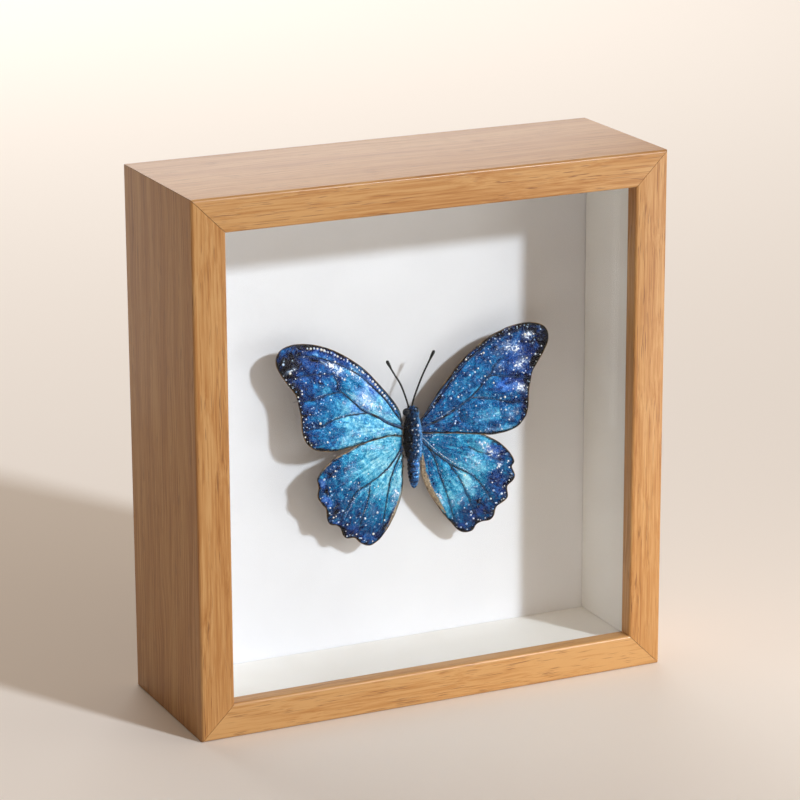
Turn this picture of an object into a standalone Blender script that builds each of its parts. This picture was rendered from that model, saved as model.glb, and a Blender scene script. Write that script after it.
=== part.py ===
"""A blue butterfly specimen pinned inside a deep oak shadow box.

Frame of the model: +Z up, +Y to the back of the case, origin under the middle of the case on the
surface that it stands on. Sizes here are in millimetres, and turn to metres where a mesh is made.
"""

import math

import bpy
from mathutils import Vector

MM = 0.001
GAP = 0.3  # left between two pieces that touch

# The case
CASE_WIDTH = 211.0
CASE_HEIGHT = 225.0
CASE_DEPTH = 74.0
FACE_WIDTH = 14.5  # what the rails show from the front
LIP_DEPTH = 7.0  # thickness of the lip that holds the glass
WALL = 8.0  # thickness of a rail behind its lip
EDGE_RADIUS = 1.2
EDGE_STEPS = 3
MITRE_GAP = 0.15  # each rail's half of the open mitre joint

# What fills the case, from the glass to the back
GLASS_THICKNESS = 2.0
LINER_THICKNESS = 3.2
BOARD_FRONT = 50.0  # from the case's front face to the white board
BOARD_THICKNESS = 10.0
BACK_THICKNESS = 3.0

# The steel points that hold the back in
POINT_WIDTH = 6.0
POINT_THICKNESS = 0.8
POINT_GRIP = 5.0  # driven into the wall
POINT_REACH = 10.0  # lying on the back panel
POINT_SPACING = 110.0  # between the two points of one rail

# Where the specimen is on the board, and how far its head leans to the left
SPECIMEN_X = 6.0
SPECIMEN_Z = 105.0
SPECIMEN_LEAN = 1.7  # degrees

# Wings: a spread wing is a thin sheet, raised towards its tip and bowed from front to back
WING_THICKNESS = 0.5
WING_HEIGHT = 12.5  # of the forewings over the board, at the body
WING_RISE = 0.07  # height gained for each millimetre out from the body
WING_BOW = 0.0022  # height lost with the square of the distance from the bow's crest
BOW_CREST = -5.0
WING_LAYER = WING_THICKNESS + 0.35  # the hindwings lie this much behind the forewings
WING_ROOT = 4.1  # the wings start here, clear of the thorax
SMOOTH_STEPS = 3  # points on the finished edge for each point of an outline
INNER_RINGS = (0.68, 0.34)  # loops of the sheet between its edge and its middle

# Forewing outline, out from the body and forward, from the front of its root round to the back
FOREWING = (
    (8.0, 10.5), (12.5, 16.5), (18.0, 22.5), (24.0, 28.5), (31.0, 33.5), (38.5, 37.5),
    (46.0, 40.0), (53.0, 41.0), (59.0, 40.5), (63.0, 38.5), (64.5, 35.5), (64.0, 32.0),
    (62.0, 28.5), (59.0, 24.5), (56.0, 20.5), (54.5, 15.5), (53.5, 10.0), (53.0, 5.0),
    (51.5, 1.0), (48.0, -2.5), (43.0, -4.0), (37.0, -4.5), (30.0, -3.5), (22.0, -2.0),
    (12.0, -0.5),
)
LEFT_FOREWING_TURN = 4.8  # degrees that the left forewing is swept further forward
LEFT_FOREWING_SHIFT = (-1.7, 1.2)

# Hindwing outlines, each with its own scallops, from the front of the root round to the body
HINDWING_RIGHT = (
    (12.0, 1.5), (22.0, 0.0), (30.0, -3.0), (38.0, -7.5), (42.5, -11.5), (45.5, -15.5),
    (46.5, -18.5), (45.5, -20.5), (47.0, -24.5), (46.0, -27.0), (43.5, -29.5), (44.0, -34.0),
    (42.5, -36.0), (39.0, -38.0), (38.0, -42.0), (36.0, -44.0), (32.5, -44.0), (30.0, -45.0),
    (28.5, -47.5), (25.0, -48.0), (22.0, -46.5), (19.0, -43.0), (15.0, -38.0), (12.0, -33.5),
    (8.0, -27.0), (5.5, -21.0), (4.2, -16.0),
)
HINDWING_LEFT = (
    (12.0, 4.0), (19.5, 2.0), (25.5, 0.0), (31.0, -2.0), (36.0, -3.5), (40.0, -6.0),
    (43.0, -8.5), (44.5, -11.0), (44.0, -15.0), (44.5, -19.0), (42.5, -22.5), (40.5, -25.5),
    (40.0, -30.0), (38.5, -32.5), (35.5, -33.5), (33.5, -35.5), (32.5, -38.5), (30.5, -40.5),
    (27.0, -41.0), (24.5, -43.5), (21.5, -45.5), (18.5, -46.0), (15.0, -44.0), (11.5, -40.0),
    (8.5, -35.0), (6.0, -29.0), (4.5, -22.5), (4.2, -16.0),
)
FOREWING_ROOT = (1.0, 6.0)  # back and front of the root, along the body
HINDWING_ROOT = (-9.0, 0.5)

# Body: half widths along it from the head's tip to the abdomen's, as (forward, half width)
BODY_HEIGHT = 12.2  # of its axis over the board
BODY_FLATTENING = 0.95  # its depth over its width
BODY_STATIONS = (
    (13.2, 0.0), (12.7, 1.3), (11.5, 2.2), (9.6, 2.5), (8.3, 2.2), (7.0, 2.6), (4.5, 3.4),
    (0.0, 3.6), (-5.0, 3.4), (-8.3, 2.8), (-9.6, 2.5), (-11.0, 2.8), (-14.0, 2.9),
    (-17.5, 2.6), (-20.5, 2.0), (-22.5, 1.1), (-23.3, 0.0),
)
BODY_SIDES = 16
BODY_RINGS = 3  # rings for each gap between two stations
EYE_RADIUS = 1.5
EYE_PLACE = (1.9, 11.2)  # out from the middle, and forward
EYE_HEIGHT = 0.5  # in front of the body's axis

# Legs, folded under the thorax: (out, height over the board, back from the hip) for each joint
LEG_JOINTS = ((1.2, 10.0, 0.0), (3.2, 7.4, 3.0), (1.7, 6.4, 8.0), (1.0, 6.9, 11.5))
LEG_RADIUS = 0.3
LEG_HIPS = (4.5, 0.5, -3.5)  # of the three pairs, along the body
LEG_SPREAD = 0.25  # how much wider each pair lies than the one in front of it

# Antennae, out from the middle and forward, from the head to the club
ANTENNA_LEFT = ((-1.3, 13.5), (-2.5, 17.6), (-4.7, 23.6), (-7.8, 29.0), (-10.6, 34.5))
ANTENNA_RIGHT = ((0.6, 13.5), (1.4, 16.5), (3.2, 21.1), (5.5, 26.1), (8.3, 31.2), (10.8, 35.7))
ANTENNA_HEIGHTS = (12.6, 14.2)  # over the board, at the head and at the tip
ANTENNA_RADIUS = 0.3
CLUB_RADIUS = 0.6
CLUB_START = 0.82  # of the way along

# The pin behind the thorax
PIN_RADIUS = 0.4
PIN_PLACE = -1.5  # along the body
PIN_IN_BODY = 2.0
PIN_IN_BOARD = 6.0
PIN_SIDES = 12


def finish(name, colour, roughness, metallic=0.0, transmission=0.0):
    """A Principled material."""
    result = bpy.data.materials.new(name)
    result.use_nodes = True
    shader = result.node_tree.nodes["Principled BSDF"]
    shader.inputs["Base Color"].default_value = (*colour, 1.0)
    shader.inputs["Roughness"].default_value = roughness
    shader.inputs["Metallic"].default_value = metallic
    shader.inputs["Transmission Weight"].default_value = transmission
    return result


def place(name, data, material, parent=None):
    """Adds the mesh or curve to the scene as one piece, under its parent."""
    if material:
        data.materials.append(material)
    obj = bpy.data.objects.new(name, data)
    obj.parent = parent
    bpy.context.scene.collection.objects.link(obj)
    return obj


def mesh_of(name, points, faces, smooth=False):
    """A mesh in metres from points in millimetres."""
    mesh = bpy.data.meshes.new(name)
    mesh.from_pydata([Vector(point) * MM for point in points], [], faces)
    if smooth:
        mesh.shade_smooth()
    return mesh


def prism(name, outline, low, high, axis):
    """A closed prism: the outline's pairs are the two other axes in order, and run round the
    positive axis. The ends are at low and high along it."""
    def corner(pair, along):
        point = list(pair)
        point.insert(axis, along)
        return point

    # Leaving Y out of X, Y, Z swaps the hand of the pair that is left.
    pairs = outline[::-1] if axis == 1 else outline
    count = len(pairs)
    points = [corner(pair, low) for pair in pairs] + [corner(pair, high) for pair in pairs]
    faces = [tuple(reversed(range(count))), tuple(range(count, 2 * count))]
    for i in range(count):
        j = (i + 1) % count
        faces.append((i, j, count + j, count + i))
    return mesh_of(name, points, faces)


def block(name, low, high):
    """A box between two corners."""
    outline = ((low[0], low[2]), (high[0], low[2]), (high[0], high[2]), (low[0], high[2]))
    return prism(name, outline, low[1], high[1], axis=1)


def helper(obj):
    """Keeps a cutter, or a shape to be joined to another, out of the model."""
    obj.hide_render = True
    obj.display_type = "WIRE"
    return obj


def combine(obj, other, operation):
    """Cuts the other shape out of the object, or joins it on."""
    modifier = obj.modifiers.new(f"{operation.lower()} {other.name}", "BOOLEAN")
    modifier.operation = operation
    modifier.object = helper(other)


def arc(centre, radius, start, end):
    """Points on a quarter round, with the angles in degrees."""
    angles = [math.radians(start + (end - start) * i / EDGE_STEPS) for i in range(EDGE_STEPS + 1)]
    return [(centre[0] + radius * math.cos(a), centre[1] + radius * math.sin(a)) for a in angles]


def rail_profile():
    """A rail's section: (in from the outer face, back from the front face)."""
    r = EDGE_RADIUS
    outline = arc((r, r), r, 180, 270)
    outline += arc((FACE_WIDTH - r, r), r, 270, 360)
    outline += [(FACE_WIDTH, LIP_DEPTH), (WALL, LIP_DEPTH), (WALL, CASE_DEPTH)]
    outline += arc((r, CASE_DEPTH - r), r, 90, 180)
    return outline


def rail_mesh(name, length):
    """A rail along X with its outer face at z = 0, mitred at both ends."""
    profile = rail_profile()
    count = len(profile)
    points = []
    for side in (-1, 1):
        for inward, back in profile:
            end = length / 2 - MITRE_GAP - inward
            points.append((side * end, back - CASE_DEPTH / 2, inward))
    faces = [tuple(range(count)), tuple(reversed(range(count, 2 * count)))]
    for i in range(count):
        j = (i + 1) % count
        faces.append((j, i, count + i, count + j))
    return mesh_of(name, points, faces)


def point_outline():
    """A framer's point in a rail's frame: a blade with its sharp end in the wall."""
    half = POINT_WIDTH / 2
    return (
        (0.0, WALL - POINT_GRIP), (half, WALL - POINT_GRIP / 2), (half, WALL + POINT_REACH),
        (-half, WALL + POINT_REACH), (-half, WALL - POINT_GRIP / 2),
    )


def build_rails(wood, steel):
    """The four rails, each with its two steel points."""
    across = CASE_WIDTH / 2
    middle = CASE_HEIGHT / 2
    rails = (
        ("bottom", CASE_WIDTH, 0, (0, 0, 0)),
        ("top", CASE_WIDTH, 180, (0, 0, CASE_HEIGHT)),
        ("left", CASE_HEIGHT, 90, (-across, 0, middle)),
        ("right", CASE_HEIGHT, -90, (across, 0, middle)),
    )
    point_front = back_of_panel() + GAP
    point_back = point_front + POINT_THICKNESS
    slot_low = WALL - POINT_GRIP - GAP
    slot_half = POINT_WIDTH / 2 + GAP
    for side, length, turn, place_of in rails:
        rail = place(f"rail_{side}", rail_mesh(f"rail_{side}", length), wood)
        rail.location = Vector(place_of) * MM
        rail.rotation_euler.y = math.radians(turn)
        for number, along in ((1, -POINT_SPACING / 2), (2, POINT_SPACING / 2)):
            low = (-slot_half, point_front - GAP, slot_low)
            high = (slot_half, point_back + GAP, WALL + 1.0)
            slot = place(f"slot_{side}_{number}", block("slot", low, high), None, rail)
            slot.location.x = along * MM
            combine(rail, slot, "DIFFERENCE")
            name = f"framers_point_{side}_{number}"
            blade = prism(name, point_outline(), point_front, point_back, axis=1)
            place(name, blade, steel, rail).location.x = along * MM


def back_of_panel():
    """Y of the back panel's rear face."""
    board = BOARD_FRONT - CASE_DEPTH / 2
    return board + BOARD_THICKNESS + GAP + BACK_THICKNESS


def build_filling(glass, white, hardboard):
    """The glass, the white liner strips, the board and the back panel, front to back."""
    half = CASE_WIDTH / 2 - WALL - GAP
    bottom = WALL + GAP
    top = CASE_HEIGHT - WALL - GAP
    glass_front = LIP_DEPTH - CASE_DEPTH / 2 + GAP
    glass_back = glass_front + GLASS_THICKNESS
    board_front = BOARD_FRONT - CASE_DEPTH / 2
    board_back = board_front + BOARD_THICKNESS
    panel_front = board_back + GAP

    place("glass_pane", block("glass_pane", (-half, glass_front, bottom), (half, glass_back, top)), glass)

    front = glass_back + GAP
    back = board_front - GAP
    strips = {
        "bottom": ((-half, bottom), (half, bottom + LINER_THICKNESS)),
        "top": ((-half, top - LINER_THICKNESS), (half, top)),
    }
    low = bottom + LINER_THICKNESS + GAP
    high = top - LINER_THICKNESS - GAP
    strips["left"] = ((-half, low), (-half + LINER_THICKNESS, high))
    strips["right"] = ((half - LINER_THICKNESS, low), (half, high))
    for side, ((x0, z0), (x1, z1)) in strips.items():
        name = f"liner_{side}"
        place(name, block(name, (x0, front, z0), (x1, back, z1)), white)

    mesh = block("backing_board", (-half, board_front, bottom), (half, board_back, top))
    board = place("backing_board", mesh, white)
    low, high = (-half, panel_front, bottom), (half, back_of_panel(), top)
    place("back_panel", block("back_panel", low, high), hardboard)
    return board


def smooth_loop(points):
    """A closed smooth curve (Catmull-Rom) through the points."""
    count = len(points)
    loop = []
    for i in range(count):
        p0, p1, p2, p3 = (Vector(points[(i + k) % count]) for k in (-1, 0, 1, 2))
        for step in range(SMOOTH_STEPS):
            t = step / SMOOTH_STEPS
            bend = 2 * p0 - 5 * p1 + 4 * p2 - p3
            twist = 3 * (p1 - p2) + p3 - p0
            loop.append((2 * p1 + (p2 - p0) * t + bend * t * t + twist * t ** 3) / 2)
    return loop


def swept(outline, turn, shift):
    """The outline turned about the body's middle and moved."""
    c, s = math.cos(math.radians(turn)), math.sin(math.radians(turn))
    return [(u * c - v * s + shift[0], u * s + v * c + shift[1]) for u, v in outline]


def wing_height(out, forward):
    """Height of the forewings' front surface over the board."""
    return WING_HEIGHT + WING_RISE * out - WING_BOW * (forward - BOW_CREST) ** 2


def build_wing(name, blade, root, side, layer, material, specimen):
    """A wing: its blade's outline closed along the body, as a bowed sheet with a thickness."""
    behind, ahead = root
    edge = smooth_loop([(WING_ROOT, behind), (WING_ROOT, ahead), *blade])
    edge = [Vector((max(p.x, WING_ROOT), p.y)) for p in edge]
    middle = sum(edge, Vector((0, 0))) / len(edge)
    loops = [edge] + [[middle + (p - middle) * scale for p in edge] for scale in INNER_RINGS]
    flat = [p for loop in loops for p in loop] + [middle]
    points = [(side * p.x, -wing_height(p.x, p.y) + layer, p.y) for p in flat]

    count = len(edge)
    faces = []
    for i in range(count):
        j = (i + 1) % count
        for ring in range(len(INNER_RINGS)):
            first = ring * count
            faces.append((first + i, first + j, first + count + j, first + count + i))
        last = len(INNER_RINGS) * count
        faces.append((last + i, last + j, len(flat) - 1))
    # The outline runs clockwise as seen from the front, so the right wing's faces turn round.
    if side > 0:
        faces = [face[::-1] for face in faces]
    wing = place(name, mesh_of(name, points, faces, smooth=True), material, specimen)
    thickness = wing.modifiers.new("thickness", "SOLIDIFY")
    thickness.thickness = WING_THICKNESS * MM
    thickness.offset = -1.0


def build_wings(material, specimen):
    left = swept(FOREWING, LEFT_FOREWING_TURN, LEFT_FOREWING_SHIFT)
    build_wing("forewing_right", FOREWING, FOREWING_ROOT, 1, 0.0, material, specimen)
    build_wing("forewing_left", left, FOREWING_ROOT, -1, 0.0, material, specimen)
    build_wing("hindwing_right", HINDWING_RIGHT, HINDWING_ROOT, 1, WING_LAYER, material, specimen)
    build_wing("hindwing_left", HINDWING_LEFT, HINDWING_ROOT, -1, WING_LAYER, material, specimen)


def body_rings():
    """(forward, half width) for each ring of the body, eased between the stations."""
    rings = []
    for (v0, r0), (v1, r1) in zip(BODY_STATIONS, BODY_STATIONS[1:]):
        for step in range(BODY_RINGS):
            t = step / BODY_RINGS
            rings.append((v0 + (v1 - v0) * t, r0, r1, t))
    result = []
    for forward, r0, r1, t in rings:
        if r0 == 0.0 or r1 == 0.0:
            # The two ends are rounded off.
            ease = math.sqrt(t) if r0 == 0.0 else math.sqrt(1 - t)
            result.append((forward, max(r0, r1) * ease))
        else:
            result.append((forward, r0 + (r1 - r0) * (1 - math.cos(math.pi * t)) / 2))
    return result[1:]


def body_mesh():
    """Head, thorax and abdomen as one skin."""
    points = []
    rings = body_rings()
    for forward, radius in rings:
        for i in range(BODY_SIDES):
            a = 2 * math.pi * i / BODY_SIDES
            depth = radius * BODY_FLATTENING * math.sin(a)
            points.append((radius * math.cos(a), depth - BODY_HEIGHT, forward))
    front = len(points)
    points.append((0, -BODY_HEIGHT, BODY_STATIONS[0][0]))
    points.append((0, -BODY_HEIGHT, BODY_STATIONS[-1][0]))
    faces = []
    for ring in range(len(rings) - 1):
        first, second = ring * BODY_SIDES, (ring + 1) * BODY_SIDES
        for i in range(BODY_SIDES):
            j = (i + 1) % BODY_SIDES
            faces.append((first + j, first + i, second + i, second + j))
    last = (len(rings) - 1) * BODY_SIDES
    for i in range(BODY_SIDES):
        j = (i + 1) % BODY_SIDES
        faces.append((i, j, front))
        faces.append((last + j, last + i, front + 1))
    return mesh_of("butterfly_body", points, faces, smooth=True)


def ball_mesh(name, centre, radius, sides=12, rows=8):
    """A ball."""
    points = [(centre[0], centre[1], centre[2] + radius)]
    for row in range(1, rows):
        polar = math.pi * row / rows
        for i in range(sides):
            a = 2 * math.pi * i / sides
            across = radius * math.sin(polar)
            z = centre[2] + radius * math.cos(polar)
            points.append((centre[0] + across * math.cos(a), centre[1] + across * math.sin(a), z))
    points.append((centre[0], centre[1], centre[2] - radius))
    faces = []
    for i in range(sides):
        j = (i + 1) % sides
        faces.append((0, 1 + i, 1 + j))
        for row in range(rows - 2):
            first, second = 1 + row * sides, 1 + (row + 1) * sides
            faces.append((first + i, second + i, second + j, first + j))
        last = 1 + (rows - 2) * sides
        faces.append((last + i, len(points) - 1, last + j))
    return mesh_of(name, points, faces, smooth=True)


def tube_curve(name, points, radii):
    """A round tube through the points, whose radius goes from point to point, with closed ends."""
    curve = bpy.data.curves.new(name, "CURVE")
    curve.dimensions = "3D"
    curve.bevel_depth = MM
    curve.bevel_resolution = 2
    curve.use_fill_caps = True
    spline = curve.splines.new("POLY")
    spline.points.add(len(points) - 1)
    for target, point, radius in zip(spline.points, points, radii):
        target.co = (*(Vector(point) * MM), 1.0)
        target.radius = radius
    return curve


def tube_mesh(name, points, radius):
    """The same tube as a mesh, which a union needs."""
    source = bpy.data.objects.new(name, tube_curve(name, points, [radius] * len(points)))
    mesh = bpy.data.meshes.new_from_object(source)
    bpy.data.objects.remove(source)
    return mesh


def build_body(material, specimen):
    """The body, with its eyes and folded legs joined on, and a pocket for the pin."""
    body = place("butterfly_body", body_mesh(), material, specimen)
    out, forward = EYE_PLACE
    for side, hand in (("left", -1), ("right", 1)):
        centre = (hand * out, -BODY_HEIGHT - EYE_HEIGHT, forward)
        eye = place(f"eye_{side}", ball_mesh("eye", centre, EYE_RADIUS), None, specimen)
        combine(body, eye, "UNION")
        for pair, hip in enumerate(LEG_HIPS):
            spread = 1 + LEG_SPREAD * pair
            joints = [(hand * u * spread, -height, hip - back) for u, height, back in LEG_JOINTS]
            leg = tube_mesh("leg", joints, LEG_RADIUS)
            combine(body, place(f"leg_{side}_{pair + 1}", leg, None, specimen), "UNION")
    return body


def round_outline(radius, centre):
    """A regular outline round the centre."""
    angles = [2 * math.pi * i / PIN_SIDES for i in range(PIN_SIDES)]
    return [(radius * math.cos(a), centre + radius * math.sin(a)) for a in angles]


def build_pin(steel, specimen, body, board):
    """The pin that carries the specimen, set in the board and in the thorax."""
    underside = -BODY_HEIGHT + BODY_STATIONS[7][1] * BODY_FLATTENING
    front = underside - PIN_IN_BODY
    outline = round_outline(PIN_RADIUS, PIN_PLACE)
    pin = prism("mounting_pin", outline, front, PIN_IN_BOARD, axis=1)
    place("mounting_pin", pin, steel, specimen)

    wide = round_outline(PIN_RADIUS + GAP, PIN_PLACE)
    pocket = prism("pin_pocket", wide, front - GAP, underside + 1.0, axis=1)
    combine(body, place("pin_pocket", pocket, None, specimen), "DIFFERENCE")
    hole = prism("pin_hole", wide, -1.0, PIN_IN_BOARD + GAP, axis=1)
    combine(board, place("pin_hole", hole, None, specimen), "DIFFERENCE")


def antenna_points(path):
    """Points along an antenna, smooth between the given ones, in the specimen's frame."""
    places = []
    for i in range(len(path) - 1):
        p0 = Vector(path[max(i - 1, 0)])
        p1, p2 = Vector(path[i]), Vector(path[i + 1])
        p3 = Vector(path[min(i + 2, len(path) - 1)])
        for step in range(SMOOTH_STEPS):
            t = step / SMOOTH_STEPS
            bend = 2 * p0 - 5 * p1 + 4 * p2 - p3
            twist = 3 * (p1 - p2) + p3 - p0
            places.append((2 * p1 + (p2 - p0) * t + bend * t * t + twist * t ** 3) / 2)
    places.append(Vector(path[-1]))
    low, high = ANTENNA_HEIGHTS
    share = [i / (len(places) - 1) for i in range(len(places))]
    points = [(p.x, -(low + (high - low) * t), p.y) for p, t in zip(places, share)]
    return points, share


def build_antennae(material, specimen):
    for name, path in (("antenna_left", ANTENNA_LEFT), ("antenna_right", ANTENNA_RIGHT)):
        points, share = antenna_points(path)
        swell = [max(0.0, (t - CLUB_START) / (1 - CLUB_START)) for t in share]
        radii = [ANTENNA_RADIUS + (CLUB_RADIUS - ANTENNA_RADIUS) * math.sin(t * math.pi / 2)
                 for t in swell]
        place(name, tube_curve(name, points, radii), material, specimen)


def main():
    for obj in list(bpy.data.objects):
        bpy.data.objects.remove(obj, do_unlink=True)

    oak = finish("satin oak", (0.56, 0.29, 0.10), 0.45)
    glass = finish("clear glass", (0.95, 0.98, 0.97), 0.02, transmission=1.0)
    white = finish("white board", (0.85, 0.85, 0.84), 0.8)
    hardboard = finish("hardboard", (0.20, 0.11, 0.05), 0.7)
    steel = finish("steel", (0.55, 0.55, 0.56), 0.35, metallic=1.0)
    wing = finish("blue wing scales", (0.03, 0.20, 0.55), 0.4)
    dark = finish("dark blue body", (0.01, 0.04, 0.14), 0.5)
    black = finish("black antenna", (0.01, 0.01, 0.01), 0.4)

    build_rails(oak, steel)
    board = build_filling(glass, white, hardboard)

    specimen = bpy.data.objects.new("specimen", None)
    bpy.context.scene.collection.objects.link(specimen)
    board_y = BOARD_FRONT - CASE_DEPTH / 2
    specimen.location = Vector((SPECIMEN_X, board_y, SPECIMEN_Z)) * MM
    specimen.rotation_euler.y = math.radians(-SPECIMEN_LEAN)
    build_wings(wing, specimen)
    body = build_body(dark, specimen)
    build_antennae(black, specimen)
    build_pin(steel, specimen, body, board)


main()
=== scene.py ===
# %% [markdown]
# # A blue butterfly in an oak shadow box
#
# A shadow box is a deep picture frame. Four mitred wooden rails hold a pane of glass in front and a
# white board behind, with white strips on the walls between them. The specimen stands on a pin in
# the middle of the board, so its shadow falls well away from it.
#
# The pieces already exist as plain solids at their real size. This lesson loads them as a fixed
# frame and gives them their looks: oak along each rail, thin puckered wings with veins and glitter,
# and a hairy body.

import math

import bmesh
import bpy
import numpy as np
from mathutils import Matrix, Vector
from mathutils.geometry import delaunay_2d_cdt


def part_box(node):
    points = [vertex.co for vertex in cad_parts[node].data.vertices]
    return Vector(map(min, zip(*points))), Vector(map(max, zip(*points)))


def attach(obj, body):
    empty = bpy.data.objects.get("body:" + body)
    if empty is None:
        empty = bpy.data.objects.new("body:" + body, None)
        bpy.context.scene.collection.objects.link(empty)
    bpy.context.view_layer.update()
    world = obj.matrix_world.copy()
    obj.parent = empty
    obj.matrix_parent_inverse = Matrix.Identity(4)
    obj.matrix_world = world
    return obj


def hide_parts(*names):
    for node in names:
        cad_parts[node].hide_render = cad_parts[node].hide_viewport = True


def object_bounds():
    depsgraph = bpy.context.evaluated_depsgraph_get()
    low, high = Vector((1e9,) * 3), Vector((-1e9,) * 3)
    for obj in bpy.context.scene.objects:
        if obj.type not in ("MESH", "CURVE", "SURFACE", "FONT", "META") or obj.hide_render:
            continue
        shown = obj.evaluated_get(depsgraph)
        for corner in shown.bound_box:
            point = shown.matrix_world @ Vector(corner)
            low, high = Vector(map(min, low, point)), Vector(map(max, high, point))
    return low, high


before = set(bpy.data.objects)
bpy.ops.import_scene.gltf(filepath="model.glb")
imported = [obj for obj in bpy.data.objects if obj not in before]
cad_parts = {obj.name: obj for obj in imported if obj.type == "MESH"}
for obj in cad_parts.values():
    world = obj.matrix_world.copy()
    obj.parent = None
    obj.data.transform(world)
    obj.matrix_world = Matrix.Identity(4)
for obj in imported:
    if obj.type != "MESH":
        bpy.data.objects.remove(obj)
CAD_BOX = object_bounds()
MM = 0.001
print("case, mm:", [round(side / MM, 1) for side in CAD_BOX[1] - CAD_BOX[0]])

# %% [markdown]
# ## Small tools
#
# A material and a Geometry Nodes tree are both graphs of nodes. One function adds a node, sets its
# properties, and fills its sockets with values or with links from other nodes, so that each graph
# below reads as a list of its parts. Colours are written as the hex codes that a picture editor
# shows, and are turned to the linear values that Blender computes with.

# %% Colours and nodes
def colour(code):
    """Linear RGBA of an sRGB hex code."""
    parts = [int(code[i:i + 2], 16) / 255 for i in (1, 3, 5)]
    linear = [c / 12.92 if c <= 0.04045 else ((c + 0.055) / 1.055) ** 2.4 for c in parts]
    return (*linear, 1.0)


def add(tree, kind, inputs=None, stops=None, **settings):
    """Adds a node to a tree. An input is named or numbered, and takes a value, a socket, or a node
    whose first output is linked. Stops are a colour ramp's places and colours."""
    node = tree.nodes.new(kind)
    for name, value in settings.items():
        setattr(node, name, value)
    for name, value in (inputs or {}).items():
        named = [s for s in node.inputs if s.name == name and s.enabled]
        socket = named[0] if named else node.inputs[name]
        if isinstance(value, bpy.types.Node):
            value = next(s for s in value.outputs if s.enabled)
        if isinstance(value, bpy.types.NodeSocket):
            tree.links.new(value, socket)
        else:
            socket.default_value = value
    if stops:
        ramp = node.color_ramp
        while len(ramp.elements) < len(stops):
            ramp.elements.new(1.0)
        for element, (place, code) in zip(ramp.elements, stops):
            element.position = place
            element.color = colour(code)
    return node


def new_material(name, **values):
    """A material, its tree and its Principled shader, whose sockets take the values."""
    material = bpy.data.materials.new(name)
    material.use_nodes = True
    shader = material.node_tree.nodes["Principled BSDF"]
    for socket, value in values.items():
        shader.inputs[socket.replace("_", " ")].default_value = value
    return material, material.node_tree, shader


print("honey oak in linear light:", [round(c, 3) for c in colour("#C99B6A")[:3]])

# %% [markdown]
# ## The camera and the light
#
# The camera looks slightly down from the left with a long lens, which keeps the box's sides nearly
# parallel. The light is a low sun from the right, parallel and small, because the rails' lips throw
# clean straight shadows on the board. A warm pale world fills those shadows. Three soft panels help
# it: one near the right-hand rail brightens that side of the frame, a small warm one reaches into
# the low right corner of the box, and a large one behind it lights the top.

# %% Camera
CAMERA_PLACE = Vector((-576.9, -1239.7, 522.6)) * MM
CAMERA_AIM = Vector((0.6, 0.0, 121.4)) * MM
CAMERA_LENS = 153.9  # mm, on a sensor 36 mm wide
CAMERA_ROLL = -0.24  # degrees


def aim(obj, direction):
    """Turns a camera or a light to look along a direction."""
    obj.rotation_euler = direction.to_track_quat("-Z", "Y").to_euler()


def add_to_scene(name, data):
    obj = bpy.data.objects.new(name, data)
    bpy.context.scene.collection.objects.link(obj)
    return obj


scene = bpy.context.scene
scene.view_settings.view_transform = "Standard"
camera_data = bpy.data.cameras.new("camera")
camera_data.lens = CAMERA_LENS
camera_data.sensor_width = 36.0
camera_data.clip_start = 0.01
camera = add_to_scene("camera", camera_data)
camera.location = CAMERA_PLACE
aim(camera, CAMERA_AIM - CAMERA_PLACE)
camera.rotation_euler.rotate_axis("Z", math.radians(CAMERA_ROLL))
scene.camera = camera
print("camera distance, mm:", round((CAMERA_AIM - CAMERA_PLACE).length / MM))

# %% Sun and soft panels
SUN_TRAVEL = Vector((-0.434, 0.778, -0.453))
SUN_ENERGY = 2.35
SUN_COLOUR = (0.87, 0.92, 1.0)
SUN_ANGLE = 5.2  # degrees across, which sets how soft the shadows' edges are
# Each panel: energy, side in mm, place and target in mm, spread in degrees, colour
PANELS = {
    "near panel": (0.52, 240, (335, -250, 70), (100, -37, 80), 180, (1.0, 1.0, 1.0)),
    "corner panel": (0.013, 120, (-120, -480, 230), (88, 0, 22), 24, (1.0, 0.86, 0.70)),
    "rear panel": (24.0, 1900, (285, 1900, 1260), (0, 0, 200), 180, (1.0, 1.0, 1.0)),
}

sun_data = bpy.data.lights.new("low sun", "SUN")
sun_data.energy = SUN_ENERGY
sun_data.angle = math.radians(SUN_ANGLE)
sun_data.color = SUN_COLOUR
aim(add_to_scene("low sun", sun_data), SUN_TRAVEL)
for name, (energy, size, place, target, spread, tint) in PANELS.items():
    data = bpy.data.lights.new(name, "AREA")
    data.energy = energy
    data.size = size * MM
    data.spread = math.radians(spread)
    data.color = tint
    light = add_to_scene(name, data)
    light.visible_camera = False
    light.location = Vector(place) * MM
    aim(light, (Vector(target) - Vector(place)) * MM)
print("lights:", 1 + len(PANELS))

# %% World and floor
WORLD_STRENGTH = 0.42
WORLD_COLOUR = (1.0, 0.70, 0.46)
WORLD_SIDE = Vector((0.72, -0.40, 0.57))  # the side of the surroundings that is brightest
FLOOR_REACH = 30.0  # metres, past the view from any side
FLOOR_DROP = 0.2 * MM  # a hair below the case, so that the two don't share a plane

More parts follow.
